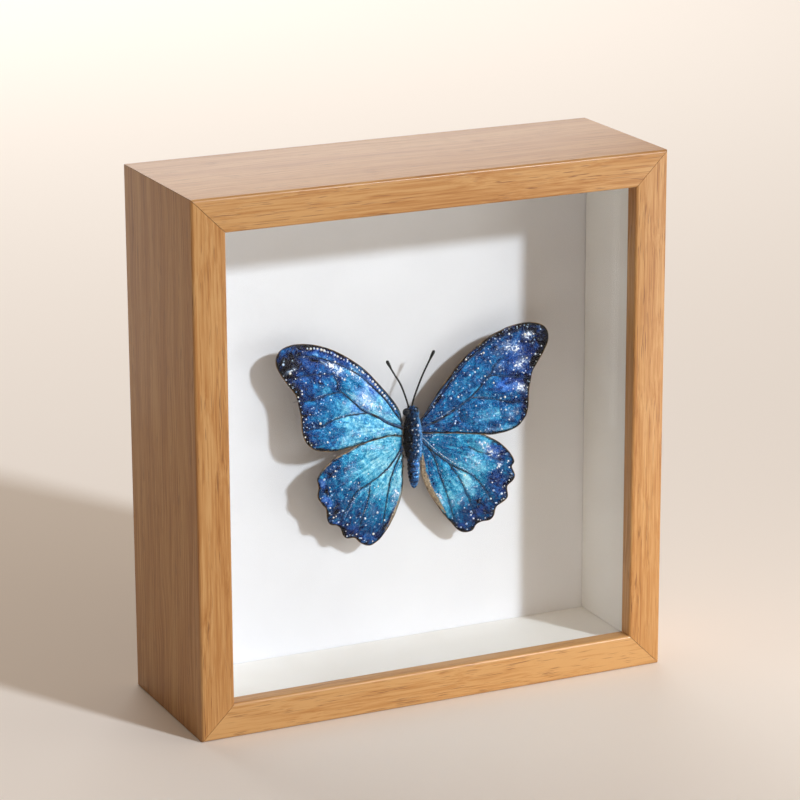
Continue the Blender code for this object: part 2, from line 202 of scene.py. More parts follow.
world = bpy.data.worlds.new("pale studio")
world.use_nodes = True
background = world.node_tree.nodes["Background"]
towards = add(world.node_tree, "ShaderNodeTexCoord").outputs["Generated"]
facing = add(world.node_tree, "ShaderNodeVectorMath", {
    0: towards, 1: WORLD_SIDE}, operation="DOT_PRODUCT")
share = add(world.node_tree, "ShaderNodeMapRange", {
    "Value": facing.outputs["Value"], "From Min": -0.7, "From Max": 0.9, "To Min": 0.03, "To Max": 1.02})
strength = add(world.node_tree, "ShaderNodeMath", {0: share, 1: WORLD_STRENGTH}, operation="MULTIPLY")
world.node_tree.links.new(strength.outputs[0], background.inputs["Strength"])
background.inputs["Color"].default_value = (*WORLD_COLOUR, 1.0)
scene.world = world

floor_mesh = bpy.data.meshes.new("floor")
corners = [(x * FLOOR_REACH, y * FLOOR_REACH, -FLOOR_DROP)
           for x, y in ((-1, -1), (1, -1), (1, 1), (-1, 1))]
floor_mesh.from_pydata(corners, [], [(0, 1, 2, 3)])
floor_finish, tree, shader = new_material("matte pale studio floor", Roughness=0.9)
shader.inputs["Base Color"].default_value = colour("#F1ECE4")
floor_mesh.materials.append(floor_finish)
add_to_scene("floor", floor_mesh)
print("floor reach, m:", FLOOR_REACH)

# %% [markdown]
# ## Making meshes and growing trees
#
# Every piece below starts from points in millimetres of the case's own frame, with its object left
# at the origin. Where a rule repeats or follows a path, a Geometry Nodes tree does the work: it is
# built once with named inputs, run on a small guide mesh, and its result is kept as a plain mesh.

# %% Mesh and tree helpers
def mesh_object(name, points, faces=(), edges=(), layers=None):
    """An object at the origin, from points in millimetres. A layer holds one value, or one vector,
    for each point."""
    mesh = bpy.data.meshes.new(name)
    mesh.from_pydata(np.asarray(points, float) * MM, edges, faces)
    for layer, values in (layers or {}).items():
        values = np.asarray(values, np.float32)
        kind, slot = ("FLOAT", "value") if values.ndim == 1 else ("FLOAT_VECTOR", "vector")
        mesh.attributes.new(layer, kind, "POINT").data.foreach_set(slot, values.ravel())
    return add_to_scene(name, mesh)


def new_tree(name, inputs):
    """A Geometry Nodes tree with named inputs, each a socket type and a default, and its input
    node. Every tree takes the finish of what it makes."""
    tree = bpy.data.node_groups.new(name, "GeometryNodeTree")
    sockets = {"Guide": ("Geometry", None), **inputs, "Finish": ("Material", None)}
    for label, (kind, value) in sockets.items():
        socket = tree.interface.new_socket(label, in_out="INPUT", socket_type="NodeSocket" + kind)
        if value is not None:
            socket.default_value = value
    tree.interface.new_socket("Result", in_out="OUTPUT", socket_type="NodeSocketGeometry")
    return tree, add(tree, "NodeGroupInput")


def end_tree(tree, start, geometry):
    """Ends a tree: real geometry in place of instances, then the finish."""
    real = add(tree, "GeometryNodeRealizeInstances", {"Geometry": geometry})
    painted = add(tree, "GeometryNodeSetMaterial", {"Geometry": real, "Material": start.outputs["Finish"]})
    add(tree, "NodeGroupOutput", {"Result": painted})
    return tree


def grow(obj, tree, values):
    """Runs the tree on the object and keeps the result as its own plain mesh."""
    modifier = obj.modifiers.new(tree.name, "NODES")
    modifier.node_group = tree
    for item in tree.interface.items_tree:
        if item.in_out == "INPUT" and item.name in values:
            modifier[item.identifier] = values[item.name]
    graph = bpy.context.evaluated_depsgraph_get()
    evaluated = obj.evaluated_get(graph)
    mesh = bpy.data.meshes.new_from_object(evaluated, preserve_all_data_layers=True, depsgraph=graph)
    obj.modifiers.clear()
    obj.data = mesh
    return obj


PATH_DIVISIONS = 12  # of each stretch between two given points, before it is measured


def smooth_path(points, step, closed=False):
    """Points at equal steps along a smooth (Catmull-Rom) curve through the given ones."""
    p = np.asarray(points, float)
    if closed:
        p = np.vstack([p[-1:], p, p[:2]])
    else:
        p = np.vstack([2 * p[:1] - p[1:2], p, 2 * p[-1:] - p[-2:-1]])
    t = np.linspace(0, 1, PATH_DIVISIONS, endpoint=False)[:, None]
    runs = []
    for a, b, c, d in zip(p, p[1:], p[2:], p[3:]):
        bend = 2 * a - 5 * b + 4 * c - d
        twist = 3 * (b - c) + d - a
        runs.append((2 * b + (c - a) * t + bend * t ** 2 + twist * t ** 3) / 2)
    dense = np.vstack([*runs, p[-2:-1]])
    length = np.r_[0, np.cumsum(np.linalg.norm(np.diff(dense, axis=0), axis=1))]
    places = np.linspace(0, length[-1], max(3, round(length[-1] / step) + 1))
    if closed:
        places = places[:-1]
    return np.column_stack([np.interp(places, length, dense[:, k]) for k in range(p.shape[1])])


SQUARE = [(0, 0), (10, 0), (10, 10), (0, 10)]
print("a closed path round a 10 mm square has", len(smooth_path(SQUARE, 1.0, closed=True)), "points")

# %% [markdown]
# ## Oak
#
# The rails are oak, planed, sanded and finished with a thin satin lacquer. What the eye gets is a
# honey colour with long wavy grain lines along each rail, short dark pore dashes where a growth
# ring's large vessels were cut open, and a soft sheen that turns pale at a grazing angle.
#
# A wood texture could read the object's coordinates, but the four rails run in two directions and
# meet at mitres. So each rail carries its own coordinates as an attribute called grain, in metres:
# along the rail, in from its outer face, and back from the front. The pattern is solid, like wood,
# and so it runs on from the front face round the arris to the side.

# %% Oak finish
def oak():
    """Satin lacquered oak."""
    material, tree, shader = new_material(
        "satin lacquered oak", Roughness=0.46, IOR=1.5, Specular_IOR_Level=0.4, Coat_Weight=0.16,
        Coat_Roughness=0.15)
    grain = add(tree, "ShaderNodeAttribute", attribute_name="grain").outputs["Vector"]

    def stretched(along, across, offset=None, **noise):
        """Noise whose cells are so many millimetres long and wide."""
        scale = (1 / (along * MM), 1 / (across * MM), 1 / (across * MM))
        scaled = add(tree, "ShaderNodeVectorMath", {0: grain, 1: scale}, operation="MULTIPLY")
        if offset:
            scaled = add(tree, "ShaderNodeVectorMath", {0: scaled, 1: offset}, operation="ADD")
        return add(tree, "ShaderNodeTexNoise", {"Vector": scaled, "Scale": 1.0, **noise}).outputs["Fac"]

    # The grain wanders up and down by a few millimetres on its way along the rail.
    drift = add(tree, "ShaderNodeMath", {0: stretched(55.0, 14.0, Detail=1.0), 1: 0.5}, operation="SUBTRACT")
    wide_drift = add(tree, "ShaderNodeMath", {0: drift, 1: 9.0}, operation="MULTIPLY")
    fine_drift = add(tree, "ShaderNodeCombineXYZ", {"Y": wide_drift})
    lines = stretched(48.0, 0.95, fine_drift, Detail=4.0, Roughness=0.68)
    bands = stretched(110.0, 6.5, add(tree, "ShaderNodeCombineXYZ", {"Y": drift}), Detail=2.0)
    pores = stretched(10.5, 0.34, fine_drift, Detail=1.0, Roughness=0.4)
    rings = stretched(90.0, 2.6, fine_drift, Detail=1.0)

    # The plank tone, which on the bottom rail also carries painted light.
    plank = add(tree, "ShaderNodeAttribute", attribute_name="plank").outputs["Fac"]
    banded = add(tree, "ShaderNodeMath", {0: bands, 1: 0.42, 2: plank}, operation="MULTIPLY_ADD")
    tone = add(tree, "ShaderNodeMath", {0: lines, 1: 0.95, 2: banded}, operation="MULTIPLY_ADD")
    wood = add(tree, "ShaderNodeValToRGB", {"Fac": tone}, stops=[
        (0.46, "#915C26"), (0.58, "#A9733A"), (0.70, "#B68248"), (0.86, "#C6985F")])
    # Vessels are cut open only in the early part of each growth ring.
    open_pores = add(tree, "ShaderNodeMapRange", {"Value": pores, "From Min": 0.60, "From Max": 0.68})
    early_wood = add(tree, "ShaderNodeMapRange", {"Value": rings, "From Min": 0.47, "From Max": 0.58})
    dashes = add(tree, "ShaderNodeMath", {0: open_pores, 1: early_wood}, operation="MULTIPLY")
    strength = add(tree, "ShaderNodeMath", {0: dashes, 1: 0.7}, operation="MULTIPLY")
    stained = add(tree, "ShaderNodeMix", {
        "Factor": strength, "A": wood, "B": colour("#734723")}, data_type="RGBA")
    tree.links.new(stained.outputs[2], shader.inputs["Base Color"])

    height = add(tree, "ShaderNodeMath", {0: dashes, 1: -0.8, 2: lines}, operation="MULTIPLY_ADD")
    bump = add(tree, "ShaderNodeBump", {"Height": height, "Strength": 0.35, "Distance": 0.12 * MM})
    tree.links.new(bump.outputs["Normal"], shader.inputs["Normal"])
    return material


OAK = oak()
print("oak nodes:", len(OAK.node_tree.nodes))

# %% [markdown]
# ## Mitred rails
#
# A rail is one moulded section run along a line and cut at 45 degrees at both ends, which is a rule.
# The section could be extruded and the ends cut with Booleans, but here a tree sweeps it along a
# line and then pulls each point in by its distance from the outer face, which is what a mitre saw
# leaves. The tree stores the grain coordinates, then turns and moves the rail to its side.

# %% The rail's section
FACE_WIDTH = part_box("rail_bottom")[1].z / MM  # what a rail shows from the front
LIP_DEPTH = 7.0
WALL = 8.0
ARRIS = 1.2  # radius of the sanded long edges
ARRIS_STEPS = 6
CASE_LOW, CASE_HIGH = (corner / MM for corner in CAD_BOX)
CASE_WIDTH = CASE_HIGH.x - CASE_LOW.x
CASE_HEIGHT = CASE_HIGH.z - CASE_LOW.z
CASE_FRONT, CASE_REAR = CASE_LOW.y, CASE_HIGH.y


def rounded(inward, back, start):
    """A quarter round of the section about a centre, from a start angle in degrees."""
    turns = np.radians(start + np.linspace(0, 90, ARRIS_STEPS + 1))
    return [(inward + ARRIS * math.cos(a), back + ARRIS * math.sin(a)) for a in turns]


section = rounded(ARRIS, CASE_FRONT + ARRIS, 180)
section += rounded(FACE_WIDTH - ARRIS, CASE_FRONT + ARRIS, 270)
section += [(FACE_WIDTH, CASE_FRONT + LIP_DEPTH), (WALL, CASE_FRONT + LIP_DEPTH), (WALL, CASE_REAR)]
section += rounded(ARRIS, CASE_REAR - ARRIS, 90)
print("section points:", len(section), "face width:", round(FACE_WIDTH, 2))

# %% The mitred rail tree
def rail_tree():
    tree, start = new_tree("mitred rail", {
        "Length": ("Float", 0.2), "Mitre Gap": ("Float", 0.0), "Turn": ("Float", 0.0),
        "Place": ("Vector", None), "Plank": ("Vector", None), "Plank And Light Tone": ("Float", 0.0)})
    half = add(tree, "ShaderNodeMath", {0: start.outputs["Length"], 1: 0.5}, operation="MULTIPLY")
    back_half = add(tree, "ShaderNodeMath", {0: half, 1: -1.0}, operation="MULTIPLY")
    line = add(tree, "GeometryNodeCurvePrimitiveLine", {
        "Start": add(tree, "ShaderNodeCombineXYZ", {"X": back_half}),
        "End": add(tree, "ShaderNodeCombineXYZ", {"X": half})})
    profile = add(tree, "GeometryNodeMeshToCurve", {"Mesh": start.outputs["Guide"]})
    swept = add(tree, "GeometryNodeCurveToMesh", {
        "Curve": line, "Profile Curve": profile, "Fill Caps": True})

    # The saw leaves each point short by its distance in from the outer face.
    place = add(tree, "ShaderNodeSeparateXYZ", {0: add(tree, "GeometryNodeInputPosition")})
    short = add(tree, "ShaderNodeMath", {
        0: place.outputs["Z"], 1: start.outputs["Mitre Gap"]}, operation="ADD")
    share = add(tree, "ShaderNodeMath", {0: short, 1: half}, operation="DIVIDE")
    kept = add(tree, "ShaderNodeMath", {0: 1.0, 1: share}, operation="SUBTRACT")
    along = add(tree, "ShaderNodeMath", {0: place.outputs["X"], 1: kept}, operation="MULTIPLY")
    cut = add(tree, "GeometryNodeSetPosition", {"Geometry": swept, "Position": add(
        tree, "ShaderNodeCombineXYZ", {"X": along, "Y": place.outputs["Y"], "Z": place.outputs["Z"]})})

    plank = add(tree, "ShaderNodeVectorMath", {
        0: add(tree, "GeometryNodeInputPosition"), 1: start.outputs["Plank"]}, operation="ADD")
    grained = add(tree, "GeometryNodeStoreNamedAttribute", {
        "Geometry": cut, "Name": "grain", "Value": plank}, data_type="FLOAT_VECTOR")
    toned = add(tree, "GeometryNodeStoreNamedAttribute", {
        "Geometry": grained, "Name": "plank", "Value": start.outputs["Plank And Light Tone"]}, data_type="FLOAT")
    placed = add(tree, "GeometryNodeTransform", {
        "Geometry": toned, "Translation": start.outputs["Place"],
        "Rotation": add(tree, "ShaderNodeCombineXYZ", {"Y": start.outputs["Turn"]})})
    return end_tree(tree, start, add(tree, "GeometryNodeSetShadeSmooth", {"Geometry": placed}))


RAIL_TREE = rail_tree()
print("rail tree nodes:", len(RAIL_TREE.nodes))

# %% Four rails
MITRE_GAP = 0.11  # how far each rail stops short of its mitre
SHARP = math.radians(30)  # a steeper edge than this stays crisp
MIDDLE = CASE_HEIGHT / 2
RAILS = {
    "bottom": (CASE_WIDTH, 0, (0, 0, 0)),
    "top": (CASE_WIDTH, 180, (0, 0, CASE_HEIGHT)),
    "left": (CASE_HEIGHT, 90, (-CASE_WIDTH / 2, 0, MIDDLE)),
    "right": (CASE_HEIGHT, -90, (CASE_WIDTH / 2, 0, MIDDLE)),
}
# Each rail is cut from its own plank, and some planks are paler. The bottom rail is made palest as painted
# light, which stands in for extra light falling on it.
PLANK_AND_LIGHT_TONES = {"bottom": 0.17, "top": 0.08, "left": 0.03, "right": 0.04}
PLANK_STEP = Vector((0.31, 0.043, 0.017))  # metres between two planks in the pattern
for number, (side, (length, turn, place)) in enumerate(RAILS.items()):
    # A swept section's X and Y come out as the rail's -Y and -Z.
    points = [(-back, -inward, 0) for inward, back in section]
    loop = [(i, (i + 1) % len(points)) for i in range(len(points))]
    rail = mesh_object(f"oak_rail_{side}", points, edges=loop)
    grow(rail, RAIL_TREE, {
        "Length": length * MM, "Mitre Gap": MITRE_GAP * MM, "Turn": math.radians(turn),
        "Place": Vector(place) * MM, "Plank": PLANK_STEP * number,
        "Plank And Light Tone": PLANK_AND_LIGHT_TONES[side], "Finish": OAK})
    rail.data.set_sharp_from_angle(angle=SHARP)
    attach(rail, "root")
    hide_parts(f"rail_{side}")
    print(rail.name, len(rail.data.polygons), "faces")

# %% [markdown]
# ## Glass, board, strips and back
#
# These are flat sheets whose solids already have the right shape, so they keep it and only get a
# finish. The pane is coated picture glass, which hardly reflects, so its IOR is low. Light has to
# reach the board through it, so for shadow and diffuse rays it is plainly transparent.
#
# The board and the strips are faced with matte white paper: almost even, with a faint cloudiness
# and a tooth too fine to see. The back is tempered hardboard, brown and fibrous.

# %% A mottled finish
def mottled(name, size, stops, detail=2.0, bump=None, **values):
    """A finish whose colour is mottled at a size in millimetres. A bump follows the same pattern,
    with a strength and a height in millimetres."""
    material, tree, shader = new_material(name, **values)
    where = add(tree, "ShaderNodeTexCoord").outputs["Object"]
    spots = add(tree, "ShaderNodeTexNoise", {"Vector": where, "Scale": 1 / (size * MM), "Detail": detail})
    tint = add(tree, "ShaderNodeValToRGB", {"Fac": spots}, stops=stops)
    tree.links.new(tint.outputs["Color"], shader.inputs["Base Color"])
    if bump:
        raised = add(tree, "ShaderNodeBump", {
            "Height": spots, "Strength": bump[0], "Distance": bump[1] * MM})
        tree.links.new(raised.outputs["Normal"], shader.inputs["Normal"])
    return material


# %% Finishes of the flat sheets
def picture_glass():
    """Coated float glass: clear, flat, and with little reflection."""
    material, tree, shader = new_material("anti-reflective picture glass", Roughness=0.0, IOR=1.18)
    shader.inputs["Transmission Weight"].default_value = 1.0
    shader.inputs["Base Color"].default_value = colour("#FCFEFD")
    clear = add(tree, "ShaderNodeBsdfTransparent", {"Color": colour("#FCFEFD")})
    path = add(tree, "ShaderNodeLightPath").outputs
    passing = add(tree, "ShaderNodeMath", {
        0: path["Is Shadow Ray"], 1: path["Is Diffuse Ray"]}, operation="MAXIMUM")
    mixed = add(tree, "ShaderNodeMixShader", {0: passing, 1: shader, 2: clear})
    tree.links.new(mixed.outputs[0], tree.nodes["Material Output"].inputs["Surface"])
    return material


def white_paper(name, light, shade):
    """Matte white facing paper, a little cloudy, with a fine tooth."""
    material, tree, shader = new_material(name, Roughness=0.85)
    where = add(tree, "ShaderNodeTexCoord").outputs["Object"]
    clouds = add(tree, "ShaderNodeTexNoise", {"Vector": where, "Scale": 1 / (30 * MM), "Detail": 3.0})
    paper = add(tree, "ShaderNodeValToRGB", {"Fac": clouds}, stops=[(0.35, shade), (0.65, light)])
    tree.links.new(paper.outputs["Color"], shader.inputs["Base Color"])
    tooth = add(tree, "ShaderNodeTexNoise", {"Vector": where, "Scale": 1 / (0.5 * MM), "Detail": 2.0})
    bump = add(tree, "ShaderNodeBump", {"Height": tooth, "Strength": 0.1, "Distance": 0.05 * MM})
    tree.links.new(bump.outputs["Normal"], shader.inputs["Normal"])
    return material


def hardboard():
    """Tempered hardboard, pressed from wood fibre: brown, with dark and light flecks of fibre."""
    material, tree, shader = new_material("tempered hardboard", Roughness=0.62)
    where = add(tree, "ShaderNodeTexCoord").outputs["Object"]
    fibres = []
    for turn in (0.4, 1.5, 2.6):
        laid = add(tree, "ShaderNodeMapping", {
            "Vector": where, "Rotation": (0, turn, 0), "Scale": (1 / (3 * MM), 1 / MM, 1 / (0.35 * MM))})
        fibre = add(tree, "ShaderNodeTexNoise", {"Vector": laid, "Scale": 1.0, "Detail": 1.0})
        fibres.append(fibre.outputs["Fac"])
    two = add(tree, "ShaderNodeMath", {0: fibres[0], 1: fibres[1]}, operation="MAXIMUM")
    all_fibres = add(tree, "ShaderNodeMath", {0: two, 1: fibres[2]}, operation="MAXIMUM")
    brown = add(tree, "ShaderNodeValToRGB", {"Fac": all_fibres}, stops=[
        (0.42, "#5A3B22"), (0.58, "#75502F"), (0.72, "#94704A")])
    tree.links.new(brown.outputs["Color"], shader.inputs["Base Color"])
    bump = add(tree, "ShaderNodeBump", {"Height": all_fibres, "Strength": 0.4, "Distance": 0.1 * MM})
    tree.links.new(bump.outputs["Normal"], shader.inputs["Normal"])
    return material


def refinish(node, material):
    """Gives a frame node a new finish in place of its own."""
    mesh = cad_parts[node].data
    mesh.materials.clear()
    mesh.materials.append(material)


STRIP_PAPER = white_paper("white paper facing on strips", "#F5F3F0", "#F0EDE9")
refinish("glass_pane", picture_glass())
refinish("backing_board", white_paper("white paper facing on foam board", "#ECECF2", "#E8E8EE"))
refinish("back_panel", hardboard())
for side in RAILS:
    refinish(f"liner_{side}", STRIP_PAPER)
print("flat sheets finished")

# %% [markdown]
# ## Framer's points
#
# Eight small steel blades are driven into the rails and lie on the back panel to hold it in. They
# are stamped from sheet, so each is flat with a sharp end and a rounded free end, and has a shallow
# dimple pressed in it. One blade is modelled with its outline and dimple, and a tree copies it to
# the eight places, which are guide points that carry the turn of their rail.

# %% One blade and its copies
BLADE_HALF = 3.0  # half its width
BLADE_GRIP = 5.0  # how deep it is driven into the rail
BLADE_REACH = 10.0  # how far it stands out over the panel
BLADE_THICKNESS = 0.8
BLADE_SPACING = 110.0
BLADE_GAP = 0.3  # between the blade and the panel
PANEL_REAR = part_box("back_panel")[1].y / MM
BLADE_BACK = PANEL_REAR + BLADE_GAP + BLADE_THICKNESS

# Zinc-plated strip steel, stamped: grey and faintly mottled, with a soft shine
SHEET_STEEL = mottled(
    "stamped zinc-plated steel", 1.2, [(0.3, "#8C8E91"), (0.7, "#B9BBBD")], detail=3.0,
    Roughness=0.38, Metallic=1.0)


def blade_object():
    """The blade along Z, its rear face at y = 0: rings of one outline, so that the rear face can
    have a pressed rim and a dimple."""
    turns = np.linspace(0, np.pi, 9)
    round_over = BLADE_HALF / 2
    top = [(BLADE_HALF * math.cos(a), BLADE_REACH - round_over * (1 - math.sin(a))) for a in turns]
    shoulder = -BLADE_GRIP / 2
    outline = np.array([(0.0, -BLADE_GRIP), (BLADE_HALF, shoulder), *top, (-BLADE_HALF, shoulder)])
    middle = np.array([0.0, BLADE_REACH * 0.55])
    # Each ring's share of the outline and its depth: the edge, the rim, and the dimple's steps
    rings = [(1.0, -BLADE_THICKNESS), (1.0, -0.12), (0.95, 0.0), (0.42, 0.0), (0.3, -0.22), (0.12, -0.3)]
    points = []
    for scale, y in rings:
        ring = middle + (outline - middle) * scale
        points += [(x, y, z) for x, z in ring]
    count = len(outline)
    faces = [tuple(range(count))]
    for ring in range(len(rings) - 1):
        for i in range(count):
            j = (i + 1) % count
            a, b = ring * count, (ring + 1) * count
            faces.append((a + j, a + i, b + i, b + j))
    faces.append(tuple(reversed(range((len(rings) - 1) * count, len(rings) * count))))
    return mesh_object("blade", points, faces)


def copies_tree():
    """Copies of a shape on guide points that carry a turn and a size."""
    tree, start = new_tree("copies on guide points", {"Shape": ("Object", None)})
    shape = add(tree, "GeometryNodeObjectInfo", {"Object": start.outputs["Shape"]}).outputs["Geometry"]
    points = add(tree, "GeometryNodeMeshToPoints", {"Mesh": start.outputs["Guide"]})
    turn = add(tree, "GeometryNodeInputNamedAttribute", {"Name": "turn"}, data_type="FLOAT_VECTOR")
    size = add(tree, "GeometryNodeInputNamedAttribute", {"Name": "size"}, data_type="FLOAT")
    copies = add(tree, "GeometryNodeInstanceOnPoints", {
        "Points": points, "Instance": shape, "Scale": size.outputs["Attribute"],
        "Rotation": add(tree, "FunctionNodeEulerToRotation", {0: turn.outputs["Attribute"]})})
    return end_tree(tree, start, copies)


COPIES_TREE = copies_tree()


def copies(name, shape, places, turns, sizes, finish):
    """One piece of a shape's copies. Places are in millimetres, turns in radians."""
    guide = mesh_object(name, places, layers={"turn": turns, "size": sizes})
    return grow(guide, COPIES_TREE, {"Shape": shape, "Finish": finish})


places, turns = [], []
for length, turn, origin in RAILS.values():
    angle = math.radians(turn)
    for along in (-BLADE_SPACING / 2, BLADE_SPACING / 2):
        x = along * math.cos(angle) + WALL * math.sin(angle)
        z = -along * math.sin(angle) + WALL * math.cos(angle)
        places.append((origin[0] + x, BLADE_BACK, origin[2] + z))
        turns.append((0, angle, 0))
blade = blade_object()
points_piece = copies("framers_points", blade, places, turns, np.ones(len(places)), SHEET_STEEL)
bpy.data.objects.remove(blade)
points_piece.data.shade_smooth()
points_piece.data.set_sharp_from_angle(angle=SHARP)
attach(points_piece, "root")
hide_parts(*[f"framers_point_{side}_{n}" for side in RAILS for n in (1, 2)])
print("framer's points:", len(points_piece.data.polygons), "faces")

# %% [markdown]
# ## The specimen's own frame
#
# The butterfly leans a little to the left, so its shapes are easiest in its own frame: out from the
# middle of the body (u, positive to the right), forward towards the head (v), and a depth that is
# the case's own Y. Everything below is drawn there, in millimetres, and turned into the case's
# frame at the end.

# %% Specimen frame
SPECIMEN_X = 6.0
SPECIMEN_Z = 105.0
SPECIMEN_LEAN = math.radians(1.7)
BOARD_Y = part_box("backing_board")[0].y / MM
LEAN = np.array([[math.cos(SPECIMEN_LEAN), -math.sin(SPECIMEN_LEAN)],
                 [math.sin(SPECIMEN_LEAN), math.cos(SPECIMEN_LEAN)]])


def to_case(uv, y):
    """Points of the case's frame from places in the specimen's frame and their Y."""
    xz = np.asarray(uv, float) @ LEAN.T + (SPECIMEN_X, SPECIMEN_Z)
    return np.column_stack([xz[:, 0], np.broadcast_to(y, len(xz)), xz[:, 1]])


def to_specimen(xz):
    return (np.asarray(xz, float) - (SPECIMEN_X, SPECIMEN_Z)) @ LEAN


print("board front, mm:", round(BOARD_Y, 2))

# %% [markdown]
# ## Wings
#
# A dried wing is a membrane thinner than paper, held taut between raised veins, and it puckers a
# little in each cell between them. A flat cut-out with a picture on it would look like paper, so
# the surface here is real: each wing takes the outline and the bowed surface of its plain solid,
# and is filled with a fine mesh of triangles (a Delaunay triangulation), about half a millimetre
# each. Every point then knows how far it is from the rim, from the nearest vein and from the root,
# and those distances raise the puckers and later place the colours.

# %% Veins, from the root outwards, each with its radius at the root and at the tip
VEINS = {
    "forewing_left": [
        (0.40, 0.18, [
            (-4.1, 6.6), (-7.9, 12.2), (-11.6, 18.0), (-17.4, 24.5), (-22.3, 29.6), (-31.6, 35.9),
            (-42.6, 40.6), (-50.0, 41.5)]),
        (0.80, 0.10, [
            (-4.1, 4.2), (-11.2, 7.8), (-14.8, 10.5), (-22.1, 15.0), (-25.2, 18.0), (-31.3, 24.3),
            (-32.8, 26.0), (-32.9, 29.0), (-34.6, 32.1)]),
        (0.16, 0.05, [(-34.6, 32.1), (-39.1, 33.0), (-47.7, 33.6), (-57.5, 33.0)]),
        (0.22, 0.06, [(-31.3, 24.3), (-37.5, 24.2), (-44.7, 23.2), (-54.0, 23.8)]),
        (0.30, 0.05, [(-20.5, 13.4), (-26.4, 13.9), (-34.3, 13.6), (-42.0, 11.6), (-49.5, 11.0)])],
    "forewing_right": [
        (0.46, 0.16, [
            (4.1, 6.0), (7.2, 9.3), (12.0, 15.2), (18.0, 21.2), (25.0, 27.2), (34.0, 32.8),
            (44.0, 36.8), (53.0, 38.8)]),
        (0.50, 0.10, [
            (4.1, 3.0), (10.3, 4.4), (14.0, 5.8), (21.5, 9.6), (27.3, 12.9), (32.0, 16.9), (34.3, 19.6),
            (36.8, 21.0), (44.8, 19.6), (54.5, 17.6)]),
        (0.10, 0.05, [(36.8, 21.0), (39.5, 25.5), (44.0, 28.3)]),
        (0.22, 0.08, [(27.3, 12.9), (36.9, 11.0), (44.5, 8.6), (53.0, 7.6)]),
        (0.16, 0.06, [(21.4, 9.5), (22.2, 5.1), (23.5, 3.0)])],
    "hindwing_left": [
        (0.40, 0.06, [
            (-4.1, -4.0), (-9.2, -10.3), (-14.7, -14.7), (-20.6, -17.5), (-26.4, -20.3), (-30.5, -26.0),
            (-33.8, -31.5)]),
        (0.38, 0.10, [(-4.1, -5.5), (-7.0, -10.4), (-10.4, -18.6), (-12.9, -32.4), (-14.5, -42.5)]),
        (0.22, 0.06, [(-19.9, -17.4), (-20.6, -23.5), (-23.5, -32.0), (-25.5, -41.0)])],
    "hindwing_right": [
        (0.46, 0.10, [
            (4.1, -1.6), (7.0, -5.5), (12.4, -10.8), (19.5, -16.7), (27.4, -21.8), (32.7, -28.2),
            (37.5, -36.0)]),
        (0.30, 0.10, [
            (5.0, -3.0), (9.8, -10.1), (12.6, -18.9), (16.0, -28.6), (18.5, -37.1), (21.5, -45.0)]),
        (0.24, 0.06, [(16.5, -14.4), (21.5, -22.2), (25.2, -30.1), (28.5, -38.0), (31.0, -43.0)]),
        (0.16, 0.06, [(26.0, -8.6), (30.7, -11.9), (34.0, -13.0), (37.2, -15.4), (39.9, -16.5)])],
}
VEIN_STEP = 0.8
MESH_STEP = 0.45
PUCKER = 0.38  # how far a cell stands in front of its veins
PUCKER_REACH = 2.0  # this far from a vein a cell has risen by about two thirds
FLAT_RIM = 2.2  # the puckers die away over this distance from the rim
RIPPLE = 0.16
WING_SHEET = 0.22  # thickness
print("veins:", {node: len(lines) for node, lines in VEINS.items()})

# %% The wing surface
def distance_to(points, lines):
    """Shortest distance of each point from any of the lines."""
    best = np.full(len(points), np.inf)
    for line in lines:
        for a, b in zip(line, line[1:]):
            ab = b - a
            t = np.clip(((points - a) @ ab) / (ab @ ab), 0, 1)
            best = np.minimum(best, np.linalg.norm(points - a - t[:, None] * ab, axis=1))
    return best


def ease(value):
    """Runs smoothly from 0 to 1."""
    t = np.clip(value, 0, 1)
    return t * t * (3 - 2 * t)


